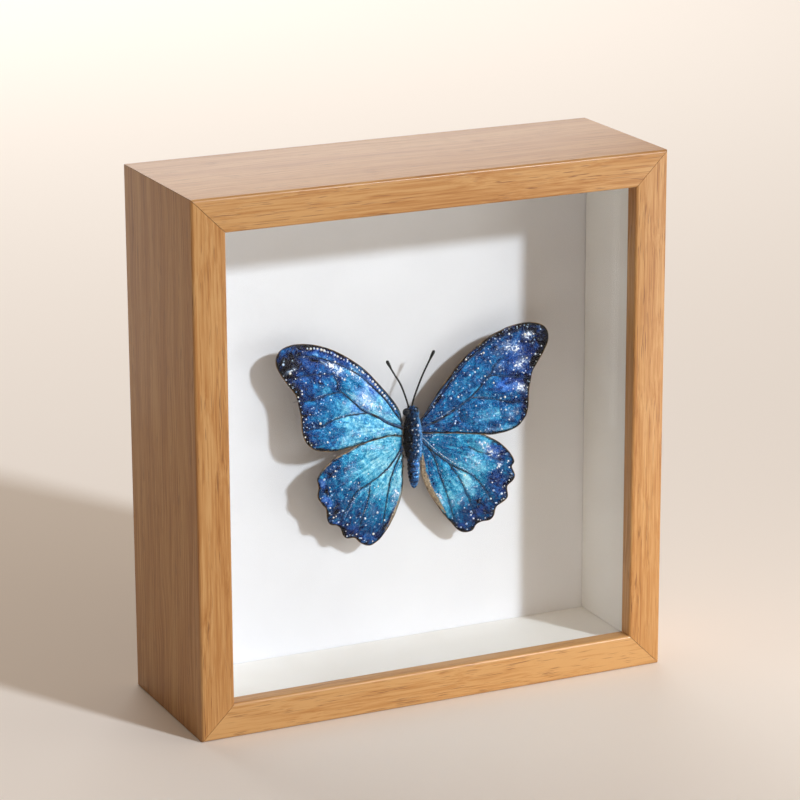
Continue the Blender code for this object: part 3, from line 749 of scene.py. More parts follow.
class Wing:
    """The outline, veins and surface of one wing, read from its plain solid."""

    def __init__(self, node):
        solid = bmesh.new()
        solid.from_mesh(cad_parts[node].data)
        bmesh.ops.remove_doubles(solid, verts=solid.verts, dist=0.002 * MM)
        solid.normal_update()
        front = {face for face in solid.faces if face.normal.y < -0.5}
        following = {}
        for edge in solid.edges:
            beside = [face for face in edge.link_faces if face in front]
            if len(beside) == 1:
                loop = next(l for l in beside[0].loops if l.edge == edge)
                following[loop.vert] = loop.link_loop_next.vert
        first = vert = next(iter(following))
        rim = []
        while vert not in rim[:1]:
            rim.append(vert)
            vert = following[vert]
        corners = np.array([v.co for v in rim]) / MM
        surface = np.array([v.co for face in front for v in face.verts]) / MM
        solid.free()

        self.node = node
        self.side = -1 if "left" in node else 1
        self.fit = np.linalg.lstsq(
            self.terms(to_specimen(surface[:, ::2])), surface[:, 1], rcond=None)[0]
        self.rim = smooth_path(to_specimen(corners[:, ::2]), MESH_STEP, closed=True)
        self.veins = [smooth_path(points, VEIN_STEP) for _, _, points in VEINS[node]]
        self.root = np.array([self.side * 2.0, 3.5 if "fore" in node else -2.0])
        self.reach = np.linalg.norm(self.rim - self.root, axis=1).max()

    @staticmethod
    def terms(uv):
        """The terms of a surface that bows both ways, which is fitted to the solid's front."""
        u, v = uv.T
        return np.column_stack([np.ones(len(u)), u, v, u * u, u * v, v * v])

    def along_rim(self, first, last, inset):
        """The shorter stretch of the rim between two places near it, moved inwards."""
        i, j = (int(np.argmin(np.linalg.norm(self.rim - place, axis=1))) for place in (first, last))
        count = len(self.rim)
        if (j - i) % count > count // 2:
            i, j = j, i
        line = self.rim[np.arange(i, i + (j - i) % count + 1) % count]
        x, y = self.rim.T
        turning = np.sign(x @ np.roll(y, -1) - y @ np.roll(x, -1))
        run = np.gradient(line, axis=0)
        across = np.column_stack([-run[:, 1], run[:, 0]]) / np.linalg.norm(run, axis=1)[:, None]
        return line + across * turning * inset

    def from_rim(self, uv):
        return distance_to(uv, [np.vstack([self.rim, self.rim[:1]])])

    def surface(self, uv):
        """Y of the wing's front, puckers included."""
        cell = 1 - np.exp(-(distance_to(uv, self.veins) / PUCKER_REACH) ** 2)
        raised = ease(self.from_rim(uv) / FLAT_RIM)
        ripple = RIPPLE * np.sin(0.83 * uv[:, 0] + 0.6) * np.sin(0.71 * uv[:, 1] + 1.9)
        return self.terms(uv) @ self.fit - PUCKER * cell * raised - ripple


WINGS = {node: Wing(node) for node in VEINS}
for node, wing in WINGS.items():
    print(node, "rim points", len(wing.rim), "reach", round(wing.reach, 1))

# %% Filling an outline with triangles
def inside(points, loop):
    """Which points lie in a closed loop."""
    found = np.zeros(len(points), bool)
    for (x0, y0), (x1, y1) in zip(loop, np.roll(loop, -1, axis=0)):
        crosses = (y0 > points[:, 1]) != (y1 > points[:, 1])
        slope = (x1 - x0) / (y1 - y0) if y1 != y0 else 0.0
        found ^= crosses & (points[:, 0] < x0 + slope * (points[:, 1] - y0))
    return found


def fill(rim, step):
    """Points and triangles that fill the rim, on a grid of equal triangles."""
    low, high = rim.min(0), rim.max(0)
    rows = np.arange(low[1], high[1], step * math.sqrt(3) / 2)
    grid = np.array([(u + step / 2 * (i % 2), v) for i, v in enumerate(rows)
                     for u in np.arange(low[0], high[0], step)])
    grid = grid[inside(grid, rim)]
    grid = grid[distance_to(grid, [np.vstack([rim, rim[:1]])]) > step * 0.6]
    points = [Vector(p) for p in np.vstack([rim, grid])]
    found = delaunay_2d_cdt(points, [], [list(range(len(rim)))], 1, 1e-7)
    uv = np.array(found[0])
    faces = np.array(found[2])
    a, b, c = (uv[faces[:, k]] for k in range(3))
    area = (b - a)[:, 0] * (c - a)[:, 1] - (b - a)[:, 1] * (c - a)[:, 0]
    faces[area < 0] = faces[area < 0][:, ::-1]
    return uv, faces


square_rim = smooth_path(SQUARE, 1.0, closed=True)
print("triangles of 1 mm in a 10 mm square:", len(fill(square_rim, 1.0)[1]))


# %% [markdown]
# ## Where the colours go
#
# The wing's colour is a field with a few sources. A tone runs from pale cyan near the body, through
# azure and royal blue, to black at the tips, and it is paler on the left wings than on the right as
# painted light. Violet turns the blue towards royal and lavender. Frost is partly the white bloom of
# glitter that lies on parts of the wings in cloudy patches and partly painted highlights: a pale
# sheen, bright crease lines and white specks where the sun catches the wing. Tan is the bare
# membrane along some edges. Each is a value at every point of the mesh: a curve over the distance
# from the root, soft oval patches, and bands that follow the rim. The material turns the values into
# colours and breaks them up with fine noise.

# %% Tone along the wing, with painted light: distance from the root as a share of the wing's reach, and the tone there
# The left wings' tones are set paler than the right wings' as painted light: the sun comes from the right
# and falls more squarely on the left wings.
TONE_AND_PAINTED_LIGHT = {
    "forewing_left": (
        (0.0, 0.32), (0.14, 0.19), (0.42, 0.23), (0.52, 0.44), (0.60, 0.58), (0.70, 0.66), (0.82, 0.74),
        (1.0, 0.86)),
    "forewing_right": ((0.0, 0.71), (0.2, 0.63), (0.45, 0.58), (0.7, 0.64), (0.85, 0.72), (1.0, 0.88)),
    "hindwing_left": (
        (0.0, 0.32), (0.14, 0.21), (0.34, 0.15), (0.50, 0.29), (0.62, 0.50), (0.8, 0.67), (1.0, 0.78)),
    "hindwing_right": (
        (0.0, 0.66), (0.2, 0.54), (0.42, 0.41), (0.6, 0.30), (0.7, 0.48), (0.8, 0.65), (1.0, 0.75)),
}
print("tone at the root and at the tip:", {node: (row[0][1], row[-1][1]) for node, row in TONE_AND_PAINTED_LIGHT.items()})

# %% Oval patches: u, v, half length, half width, turn in degrees, amount
PATCHES = {
    "forewing_left": {
        "tone": [
            (-55, 39, 9, 6.0, 20, 0.30), (-9.5, 12, 3, 2.5, 0, 0.16), (-38, 40.0, 12, 1.7, 158, -0.28),
            (-37.5, 37.2, 10, 0.9, 158, 0.30), (-44, 35.6, 7, 3.0, 165, -0.03),
            (-52, 29.5, 4, 4, 60, 0.22), (-38, 26.2, 3.0, 1.6, 0, -0.30), (-35, 8, 5, 3.5, 20, 0.20),
            (-46, 24, 8, 1.8, 170, 0.14), (-44, 12, 8, 1.8, 170, 0.12), (-47, 7, 5, 4, 0, 0.10),
            (-40, 2.5, 7, 2.2, 5, -0.12), (-25, 27, 4, 3.0, 130, 0.20), (-32, 24, 8, 2.6, 135, 0.12)],
        "violet": [
            (-21, 20, 13, 6, 50, 0.6), (-40, 37, 16, 8, 165, 0.5), (-50, 26, 7, 12, 10, 0.5),
            (-49, 4, 6, 6, 0, 0.4)],
        "frost_and_highlight": [
            (-32.5, 34.0, 5.0, 2.8, 150, 1.0), (-24.5, 30.5, 4.4, 2.4, 135, 1.0),
            (-21, 19.5, 7.0, 3.8, 135, 0.85), (-14, 14, 5.5, 2.6, 140, 0.8),
            (-19, 26, 4, 1.6, 130, 0.7), (-29, 18.5, 4.5, 2.2, 160, 0.45),
            (-27, 5.5, 11, 2.0, 10, 0.35), (-36.5, 36.5, 4.5, 1.2, 150, 0.8),
            (-13, 5, 5, 2.0, 20, 0.45), (-54, 36.5, 3.4, 1.1, 15, 0.6)],
    },
    "forewing_right": {
        "tone": [
            (59, 35, 7, 8, 0, 0.22), (58, 25, 5, 3, 60, 0.2), (36, 4.5, 11, 4.0, 0, -0.26),
            (45, -2.6, 9, 2.2, 0, -0.28), (24, -1.0, 12, 1.6, 0, -0.06), (51, 3, 3.5, 5, 0, 0.12),
            (50, 20, 5, 1.6, -15, 0.2), (42, 16, 7, 3, 0, -0.12), (34, 29, 9, 2.6, 35, 0.10)],
        "violet": [(51, 26, 14, 11, 40, 0.8), (45, 15.5, 9, 4, 0, 0.9), (53, 4, 4, 7, 0, 0.7)],
        "frost_and_highlight": [
            (48, 31.5, 5.0, 2.8, 150, 1.0), (55.2, 35.8, 3.0, 2.0, 0, 1.0),
            (50.5, 24.5, 4.6, 2.6, 30, 1.0), (50, 14.2, 4.4, 2.2, 155, 0.95),
            (46, 3.5, 4.0, 2.6, 30, 0.6), (40, 24, 5, 2, 20, 0.3), (42, 31, 5, 2.5, 30, 0.3),
            (42, -2.4, 9, 1.4, 0, 0.5), (35, 3.5, 7, 2.2, 10, 0.3)],
    },
    "hindwing_left": {
        "tone": [
            (-38, -9, 4, 3.2, 60, 0.14), (-40.5, -17.2, 1.6, 2.4, 30, 0.3), (-36, -27, 3, 3, 30, 0.16),
            (-11, -40, 5, 2, 60, 0.2), (-12.5, -32, 6, 2.0, 78, -0.22), (-7.5, -14, 5, 2, 70, 0.12),
            (-7, -4, 3, 2, 0, 0.12), (-28, -13.5, 6, 2.6, 60, -0.14),
            (-42.5, -13.2, 2.8, 1.6, 105, -0.34), (-40.6, -21.8, 4.2, 2.5, 130, -0.26),
            (-35.6, -33.0, 2.8, 1.3, 160, -0.28), (-27, -22, 3, 3, 0, 0.08),
            (-32, -10, 2.6, 1.2, 60, 0.2), (-25.5, -16.5, 1.8, 0.9, 80, 0.25)],
        "violet": [
            (-42.5, -13.2, 2.8, 1.7, 105, 1.6), (-40.6, -21.8, 4.2, 2.6, 130, 1.6),
            (-35.6, -33.0, 2.8, 1.4, 160, 1.5), (-22, -42.5, 8, 3.4, 0, 0.8),
            (-28, -37, 7, 3.4, 150, 0.7)],
        "frost_and_highlight": [
            (-20, -1.4, 8, 1.7, -12, 0.6), (-29, -10, 6, 3.2, 60, 0.5), (-26, -18, 5, 1.3, 150, 0.5),
            (-16, -23, 4.4, 2.0, 20, 0.5), (-8.4, -26, 8, 1.8, 80, 0.75), (-14, -11, 9, 4, 140, 0.2),
            (-12, -3, 6, 1.6, 0, 0.35), (-19, -30, 2.4, 3.6, 0, 0.3)],
    },
    "hindwing_right": {
        "tone": [
            (28, -16.5, 6, 3.6, -30, -0.12), (38, -24, 3, 6, 40, 0.10), (27, -38, 5, 3, 0, 0.14),
            (40, -15, 4, 2.6, 50, 0.18), (12.5, -26, 7, 1.8, 112, -0.08), (8, -13, 6, 1.6, 110, 0.08),
            (25.5, -25, 8, 2.2, -62, -0.22), (18.5, -30, 7, 2.4, 112, -0.10)],
        "violet": [
            (38, -13, 7, 4, -30, 1.0), (40, -28, 5, 10, 30, 0.8), (30, -39.5, 6, 3, 30, 1.0),
            (22.5, -44.5, 3, 2, 0, 1.0)],
        "frost_and_highlight": [
            (33, -9, 4.6, 2.2, 150, 0.85), (37, -13.5, 4.4, 2.0, 140, 0.65),
            (39, -19, 2.6, 1.4, 30, 0.8), (27, -12, 4, 1.8, 50, 0.6), (21, -32, 5, 3, 20, 0.45),
            (29, -17, 7, 3.6, -30, 0.45), (26, -27, 4, 6, 30, 0.35), (13, -30, 7, 1.6, 118, 0.6),
            (20, -14.5, 7, 1.2, -38, 0.5)],
    },
}
print("patches:", sum(len(ovals) for kinds in PATCHES.values() for ovals in kinds.values()))

# %% Bands along the rim: from and to a place near it, how far in, half width, amount
BAND_TAPER = 9.0  # over this length a band widens from its ends
BANDS = {
    "forewing_left": {
        "tone": [((-5, 10), (-52, 43), 1.3, 2.0, 0.24), ((-62, 33), (-48, -2), 1.0, 2.2, 0.16)],
        "violet": [((-5, 10), (-52, 43), 1.6, 2.6, 0.5)],
    },
    "forewing_right": {
        "tone": [((5, 9), (58, 41), 0.9, 1.7, 0.34), ((62, 36), (50, -4), 1.2, 2.4, 0.24)],
        "tan": [((26, 29), (56, 41), 0.1, 0.5, 0.6)],
    },
    "hindwing_left": {
        "tone": [((-40, -28), (-22, -46), 0.8, 1.8, 0.12), ((-8, -26), (-15, -45), 1.8, 0.8, 0.3)],
        "tan": [((-20, -2), (-43, -12), 0.1, 0.5, 0.9), ((-6.5, -22), (-13, -40), 0.6, 1.0, 0.9)],
        "frost_and_highlight": [((-4.5, -14), (-7.5, -30), 1.2, 1.3, 0.5)],
    },
    "hindwing_right": {
        "tone": [((42, -14), (22, -46), 0.8, 2.4, 0.18), ((4.5, -12), (12, -34), 3.4, 0.9, 0.3)],
        "tan": [((4.5, -9), (14.5, -38), 0.9, 1.6, 1.1), ((20, -2), (35, -8), 0.3, 0.7, 0.8)],
    },
}
print("bands:", sum(len(bands) for kinds in BANDS.values() for bands in kinds.values()))

# %% Patches, bands and the wing sheet
PATCH_END = 1.25  # where a patch has faded out, as a share of its half sizes
BAND_END = 1.3  # where a band has, as a share of its half width
FLOW_TURN = 25  # what a radian round the root counts for in the flow, beside a millimetre outwards


def patch(uv, u, v, length, width, turn, amount):
    """A soft oval: its amount at the middle, and none beyond its end."""
    a = math.radians(turn)
    d = uv - (u, v)
    along = d @ (math.cos(a), math.sin(a)) / length
    across = d @ (-math.sin(a), math.cos(a)) / width
    return amount * ease(PATCH_END - np.hypot(along, across))


def wing_object(wing):
    """A wing as a closed sheet with its colour fields."""
    uv, faces = fill(wing.rim, MESH_STEP)
    y = wing.surface(uv)
    count = len(uv)
    points = np.vstack([to_case(uv, y), to_case(uv, y + WING_SHEET)])
    sides = {}
    for a, b, c in faces.tolist():
        for pair in ((a, b), (b, c), (c, a)):
            sides[pair] = sides.get(pair[::-1], 0) + 1
    walls = [(b, a, a + count, b + count) for a, b in sides if (b, a) not in sides]
    all_faces = faces.tolist() + (faces[:, ::-1] + count).tolist() + walls

    spread = uv - wing.root
    radius = np.linalg.norm(spread, axis=1)
    angle = np.arctan2(spread[:, 1], np.abs(spread[:, 0]))
    tone = np.interp(radius / wing.reach, *np.array(TONE_AND_PAINTED_LIGHT[wing.node]).T)
    fields = {"tone": tone, **{name: np.zeros(count) for name in ("violet", "frost_and_highlight", "tan")}}
    for name, patches in PATCHES[wing.node].items():
        for oval in patches:
            fields[name] = fields[name] + patch(uv, *oval)
    for name, bands in BANDS[wing.node].items():
        for first, last, inset, half_width, amount in bands:
            line = wing.along_rim(first, last, inset)
            ends = np.minimum(*(np.linalg.norm(uv - line[k], axis=1) for k in (0, -1)))
            width = half_width * (0.2 + 0.8 * ease(ends / BAND_TAPER))
            faded = ease(BAND_END - distance_to(uv, [line]) / width)
            fields[name] = fields[name] + amount * faded
    fields["rim"] = wing.from_rim(uv)
    fields["vein"] = distance_to(uv, wing.veins)
    layers = {name: np.tile(values, 2) for name, values in fields.items()}
    layers["upper"] = np.r_[np.ones(count), np.zeros(count)]
    layers["flow"] = np.tile(np.column_stack([radius, angle * FLOW_TURN, np.zeros(count)]), (2, 1))
    obj = mesh_object(f"{wing.node}_sheet", points, all_faces, layers=layers)
    obj.data.shade_smooth()
    return obj


# %% [markdown]
# ## Wing scales
#
# The blue isn't a pigment. It comes from the fine layers in each scale, and it shines like metal
# seen through a thin film. A plain blue paint would look flat, so the shader is partly metallic,
# and its normals are broken up at the size of a cluster of scales, which makes the wing glitter in
# the sun. Real scales are 0.1 mm long, too fine for this view, so the clusters are drawn at about
# half a millimetre. Streaks follow the flow attribute, which runs out from the root as scale rows do.

# %% Scale finish
STREAK_SCALE = (1 / 6.5, 0.85, 1.0)  # streaks per unit of the flow: along it and across it
CLUSTER = 0.5  # size of a cluster of scales


def scales(name, blues, violets):
    """Iridescent scales on a wing membrane, from a ramp of blues and one of violets."""
    material, tree, shader = new_material(name, Roughness=0.5, Metallic=0.25, Specular_IOR_Level=0.05)
    field = {layer: add(tree, "ShaderNodeAttribute", attribute_name=layer)
             for layer in ("tone", "violet", "frost_and_highlight", "tan", "rim", "vein", "upper", "flow")}
    flow = field.pop("flow").outputs["Vector"]
    field = {layer: node.outputs["Fac"] for layer, node in field.items()}

    def moved(value, pattern, gain, middle=0.5):
        """A value that goes up and down with a pattern's departure from its middle."""
        departure = add(tree, "ShaderNodeMath", {0: pattern, 1: middle}, operation="SUBTRACT")
        return add(tree, "ShaderNodeMath", {0: departure, 1: gain, 2: value}, operation="MULTIPLY_ADD")

    def laid(below, above, amount, low, high, most=1.0):
        """A colour laid over another, from nothing where the amount is low to the most of it."""
        cover = add(tree, "ShaderNodeMapRange", {
            "Value": amount, "From Min": low, "From Max": high, "To Max": most})
        return add(tree, "ShaderNodeMix", {"Factor": cover, "A": below, "B": above}, data_type="RGBA")

    # Patterns, each with its size in millimetres
    where = add(tree, "ShaderNodeTexCoord").outputs["Object"]
    sizes = {
        "blotches": (5.0, {"Distortion": 0.8}),
        "crumple": (2.2, {"Distortion": 1.2}),
        "fine": (1.1, {"Roughness": 0.6, "Distortion": 0.8}),
        "dust": (0.9, {"Detail": 1.5, "Distortion": 0.6}),
        "creases": (1.9, {"Distortion": 0.7, "Offset": 1.0, "Gain": 2.0}),
    }
    pattern = {}
    for title, (size, inputs) in sizes.items():
        # The creases are sharp ridges, as on crumpled foil.
        kind = "RIDGED_MULTIFRACTAL" if title == "creases" else "FBM"
        noise = add(tree, "ShaderNodeTexNoise", {
            "Vector": where, "Scale": 1 / (size * MM), "Detail": 2.0, **inputs}, noise_type=kind)
        pattern[title] = noise.outputs["Fac"]
    rows = add(tree, "ShaderNodeVectorMath", {0: flow, 1: STREAK_SCALE}, operation="MULTIPLY")
    pattern["streaks"] = add(tree, "ShaderNodeTexNoise", {
        "Vector": rows, "Scale": 1.0, "Detail": 3.0, "Distortion": 0.7}).outputs["Fac"]
    clusters = add(tree, "ShaderNodeTexVoronoi", {"Vector": where, "Scale": 1 / (CLUSTER * MM)})
    spark = add(tree, "ShaderNodeSeparateColor", {0: clusters.outputs["Color"]}).outputs["Red"]

    tone = field["tone"]
    for title, gain in (("streaks", 0.75), ("blotches", 0.6), ("crumple", 0.75), ("fine", 0.4)):
        tone = moved(tone, pattern[title], gain)
    # Paler on the crease ridges and darker between them: painted highlight and shade of the crumpled
    # surface.
    tone = moved(tone, pattern["creases"], -0.08, middle=1.07)
    blue = add(tree, "ShaderNodeValToRGB", {"Fac": tone}, stops=blues)
    violet = add(tree, "ShaderNodeValToRGB", {"Fac": tone}, stops=violets)
    mixed = laid(blue, violet, moved(field["violet"], pattern["blotches"], 1.2), 0.15, 0.85)

    # Frost and painted highlights: a soft haze of painted sheen, pale painted highlights along the creases,
    # and white grains where it is thick.
    frost_and_highlight = field["frost_and_highlight"]
    thick_crumple = add(tree, "ShaderNodeMapRange", {
        "Value": pattern["crumple"], "From Min": 0.38, "From Max": 0.62, "To Max": 0.42})
    haze = add(tree, "ShaderNodeMath", {0: frost_and_highlight, 1: thick_crumple}, operation="MULTIPLY")
    hazy = add(tree, "ShaderNodeMix", {
        "Factor": haze, "A": mixed, "B": colour("#A6C2EE")}, data_type="RGBA")
    crest_highlight = add(tree, "ShaderNodeMath", {
        0: frost_and_highlight, 1: 0.28, 2: pattern["creases"]}, operation="MULTIPLY_ADD")
    crest_highlit = laid(hazy, colour("#CFE2F8"), crest_highlight, 1.52, 1.82, 0.75)
    grains = moved(moved(frost_and_highlight, pattern["crumple"], 3.2), pattern["dust"], 2.0)
    frosted_and_highlit = laid(crest_highlit, colour("#F4F7FF"), grains, 1.0, 1.35, 0.9)
    # Painted glints: single pale scale clusters, more of them in the frost.
    glint = add(tree, "ShaderNodeMath", {0: frost_and_highlight, 1: 0.02, 2: spark}, operation="MULTIPLY_ADD")
    sparkling = laid(frosted_and_highlit, colour("#C4E0F6"), glint, 0.982, 0.994, 0.55)
    membrane = add(tree, "ShaderNodeValToRGB", {"Fac": pattern["fine"]}, stops=[
        (0.34, "#7C664C"), (0.5, "#A0886A"), (0.66, "#BCA88A")])
    bare = laid(sparkling, membrane, moved(field["tan"], pattern["fine"], 1.4), 0.3, 0.8, 0.92)

    # A dark border with an uneven inner edge, and dark scales beside each vein.
    covered = add(tree, "ShaderNodeMath", {
        0: field["tan"], 1: 1.2, 2: field["rim"]}, operation="MULTIPLY_ADD")
    ragged = add(tree, "ShaderNodeMapRange", {
        "Value": pattern["streaks"], "From Min": 0.3, "From Max": 0.7, "To Max": 1.3})
    inward = add(tree, "ShaderNodeMath", {0: covered, 1: ragged}, operation="SUBTRACT")
    edged = laid(bare, colour("#17140F"), inward, 0.45, -0.1, 0.92)
    veined = laid(edged, colour("#0C1A38"), moved(field["vein"], pattern["fine"], 2.6), 0.72, 0.2, 0.75)
    turned = add(tree, "ShaderNodeMix", {
        "Factor": field["upper"], "A": colour("#5B4430"), "B": veined}, data_type="RGBA")
    tree.links.new(turned.outputs[2], shader.inputs["Base Color"])

    height = pattern["crumple"]
    for title, share in (("fine", 0.5), ("streaks", 0.6), ("creases", 0.22)):
        height = add(tree, "ShaderNodeMath", {
            0: pattern[title], 1: share, 2: height}, operation="MULTIPLY_ADD")
    bump = add(tree, "ShaderNodeBump", {"Height": height, "Strength": 0.8, "Distance": 0.35 * MM})
    tree.links.new(bump.outputs["Normal"], shader.inputs["Normal"])
    return material


TONE_STOPS = (0.00, 0.15, 0.30, 0.45, 0.60, 0.74, 0.88, 1.00)
VIOLETS, FORE_BLUES, HIND_BLUES = (list(zip(TONE_STOPS, codes.split())) for codes in (
    "#ACC6F0 #80A6DE #5080C8 #2C5EB4 #20468E #1B316C #171F48 #100F18",
    "#A0D8EC #68B6DA #3890C0 #1C6CA0 #124E84 #12386C #14224A #120F14",
    "#A2DCEE #68BCDC #3696C2 #1C74A4 #125488 #123C70 #14244C #120F14"))
FOREWING_SCALES = scales("iridescent forewing scales", FORE_BLUES, VIOLETS)
HINDWING_SCALES = scales("iridescent hindwing scales", HIND_BLUES, VIOLETS)
print("scale finish nodes:", len(FOREWING_SCALES.node_tree.nodes))

# %% Four wings
wing_pieces = {}
for node, wing in WINGS.items():
    piece = wing_object(wing)
    piece.data.materials.append(FOREWING_SCALES if "fore" in node else HINDWING_SCALES)
    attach(piece, "root")
    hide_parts(node)
    wing_pieces[node] = piece
    print(piece.name, len(piece.data.vertices), "points", len(piece.data.polygons), "faces")

# %% [markdown]
# ## Veins, wing margins, legs and antennae
#
# All of these are thin tubes that follow a path and taper, so one tree makes them: it turns a guide
# line into a curve, sweeps a small circle along it, and scales the circle by an attribute called
# thick. The guides lie on the wings' real surface, puckers included, and so the veins do too.

# %% Tapered tube tree
def tube_tree():
    tree, start = new_tree("tapered tube", {"Sides": ("Int", 6)})
    path = add(tree, "GeometryNodeMeshToCurve", {"Mesh": start.outputs["Guide"]})
    ring = add(tree, "GeometryNodeCurvePrimitiveCircle", {
        "Resolution": start.outputs["Sides"], "Radius": 1.0})
    thick = add(tree, "GeometryNodeInputNamedAttribute", {"Name": "thick"}, data_type="FLOAT")
    tube = add(tree, "GeometryNodeCurveToMesh", {
        "Curve": path, "Profile Curve": ring, "Scale": thick.outputs["Attribute"], "Fill Caps": True})
    return end_tree(tree, start, add(tree, "GeometryNodeSetShadeSmooth", {"Geometry": tube}))


TUBE_TREE = tube_tree()


def tubes(name, paths, finish, sides=6):
    """One piece of several tubes. A path is points in the case's frame, their radii, and whether
    it closes on itself."""
    points, thick, edges = [], [], []
    for line, radii, closed in paths:
        first = len(points)
        points.extend(line)
        thick.extend(np.broadcast_to(radii, len(line)) * MM)
        edges += [(first + i, first + i + 1) for i in range(len(line) - 1)]
        if closed:
            edges.append((len(points) - 1, first))
    obj = mesh_object(name, points, edges=edges, layers={"thick": thick})
    return grow(obj, TUBE_TREE, {"Sides": sides, "Finish": finish})


print("tube tree nodes:", len(TUBE_TREE.nodes))

# %% Finishes of veins and margins
def chitin(name, dark, light, size, roughness=0.35):
    """Insect cuticle (chitin): hard, dark and slightly shiny, a little uneven in colour."""
    return mottled(name, size, [(0.42, dark), (0.62, light)], bump=(0.3, 0.05), Roughness=roughness,
                   IOR=1.56, Specular_IOR_Level=0.3)


VEIN_CHITIN = chitin("blue-black vein chitin", "#060A16", "#1B4470", 2.5, roughness=0.6)
MARGIN_CHITIN = chitin("brown wing margin", "#2A1C12", "#8A6A42", 3.0)
MARGIN_RADIUS = 0.17

for node, wing in WINGS.items():
    paths = []
    for (thick, thin, _), line in zip(VEINS[node], wing.veins):
        radii = np.linspace(thick, thin, len(line))
        paths.append((to_case(line, wing.surface(line)), radii, False))
    veins = tubes(f"{node}_veins", paths, VEIN_CHITIN)
    edge = to_case(wing.rim, wing.surface(wing.rim) + WING_SHEET / 2)
    margin = tubes(f"{node}_margin", [(edge, MARGIN_RADIUS, True)], MARGIN_CHITIN)
    for piece in (veins, margin):
        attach(piece, "root")
        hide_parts(node)
    print(node, "vein faces", len(veins.data.polygons), "margin faces", len(margin.data.polygons))

# %% [markdown]
# ## Glitter
#
# White sparks lie all over the wings, from specks to beads of almost a millimetre. They are
# crystals of a hard clear coat that catch the sun. Points of light could be painted, but beads
# stand off the surface, so they show from the side and in the exported meshes. A tree scatters them
# over each wing, more thickly on the deep blues and on the frost. The rows along the rim and beside
# veins and the largest beads are listed, and the tree that copied the steel blades copies
# one bead to them.

# %% One bead and the scattering tree
# Clear hard varnish beads over white: bright and glossy, some bluish and some warm
BEADS = mottled("glitter varnish beads", 2.0, [
    (0.36, "#8FBCF6"), (0.46, "#D2E4FF"), (0.58, "#FFFFFF"), (0.72, "#FFF2E4")], detail=1.0,
    Roughness=0.22, IOR=1.5)


def bead_object():
    """A round bead of 80 faces, 1 mm in radius."""
    bm = bmesh.new()
    bmesh.ops.create_icosphere(bm, subdivisions=2, radius=MM)
    obj = mesh_object("bead", [])
    bm.to_mesh(obj.data)
    bm.free()
    obj.data.shade_smooth()
    return obj


def scatter_tree():
    tree, start = new_tree("scattered beads", {
        "Density": ("Float", 100.0), "Radius": ("Float", 0.0003), "Smallest": ("Float", 0.3),
        "Seed": ("Int", 1)})
    weight = add(tree, "GeometryNodeInputNamedAttribute", {"Name": "glitter"}, data_type="FLOAT")
    density = add(tree, "ShaderNodeMath", {
        0: weight.outputs["Attribute"], 1: start.outputs["Density"]}, operation="MULTIPLY")
    dots = add(tree, "GeometryNodeDistributePointsOnFaces", {
        "Mesh": start.outputs["Guide"], "Density": density, "Seed": start.outputs["Seed"]})
    size = add(tree, "FunctionNodeRandomValue", {
        "Min": 0.0, "Max": 1.0, "Seed": start.outputs["Seed"]}, data_type="FLOAT")
    # Most beads are small: the random number is squared.
    squared = add(tree, "ShaderNodeMath", {0: size.outputs[1], 1: 2.0}, operation="POWER")
    scale = add(tree, "ShaderNodeMapRange", {
        "Value": squared, "To Min": start.outputs["Smallest"], "To Max": 1.0})
    ball = add(tree, "GeometryNodeMeshIcoSphere", {"Radius": start.outputs["Radius"], "Subdivisions": 1})
    flat_bead = add(tree, "GeometryNodeTransform", {"Geometry": ball, "Scale": (1.0, 1.0, 0.5)})
    beads = add(tree, "GeometryNodeInstanceOnPoints", {
        "Points": dots.outputs["Points"], "Instance": flat_bead,
        "Rotation": dots.outputs["Rotation"], "Scale": scale})
    real = add(tree, "GeometryNodeRealizeInstances", {"Geometry": beads})
    return end_tree(tree, start, add(tree, "GeometryNodeSetShadeSmooth", {"Geometry": real}))


BEAD = bead_object()
SCATTER_TREE = scatter_tree()
print("bead faces:", len(BEAD.data.polygons), "scatter tree nodes:", len(SCATTER_TREE.nodes))

# %% Where the placed beads go
# Rows along the rim: from and to a place near it, how far in, spacing, bead radius
RIM_ROWS = {
    "forewing_left": [((-7, 12), (-47, 43), 1.35, 1.65, 0.54), ((-62, 34), (-48, -2), 0.7, 2.2, 0.34)],
    "forewing_right": [((8, 12), (57, 41), 1.0, 1.7, 0.24), ((60, 28), (50, -4), 0.8, 3.0, 0.30)],
    "hindwing_left": [((-42, -18), (-16, -46), 1.6, 3.2, 0.36)],
    "hindwing_right": [((44, -20), (16, -41), 1.4, 3.2, 0.34)],
}
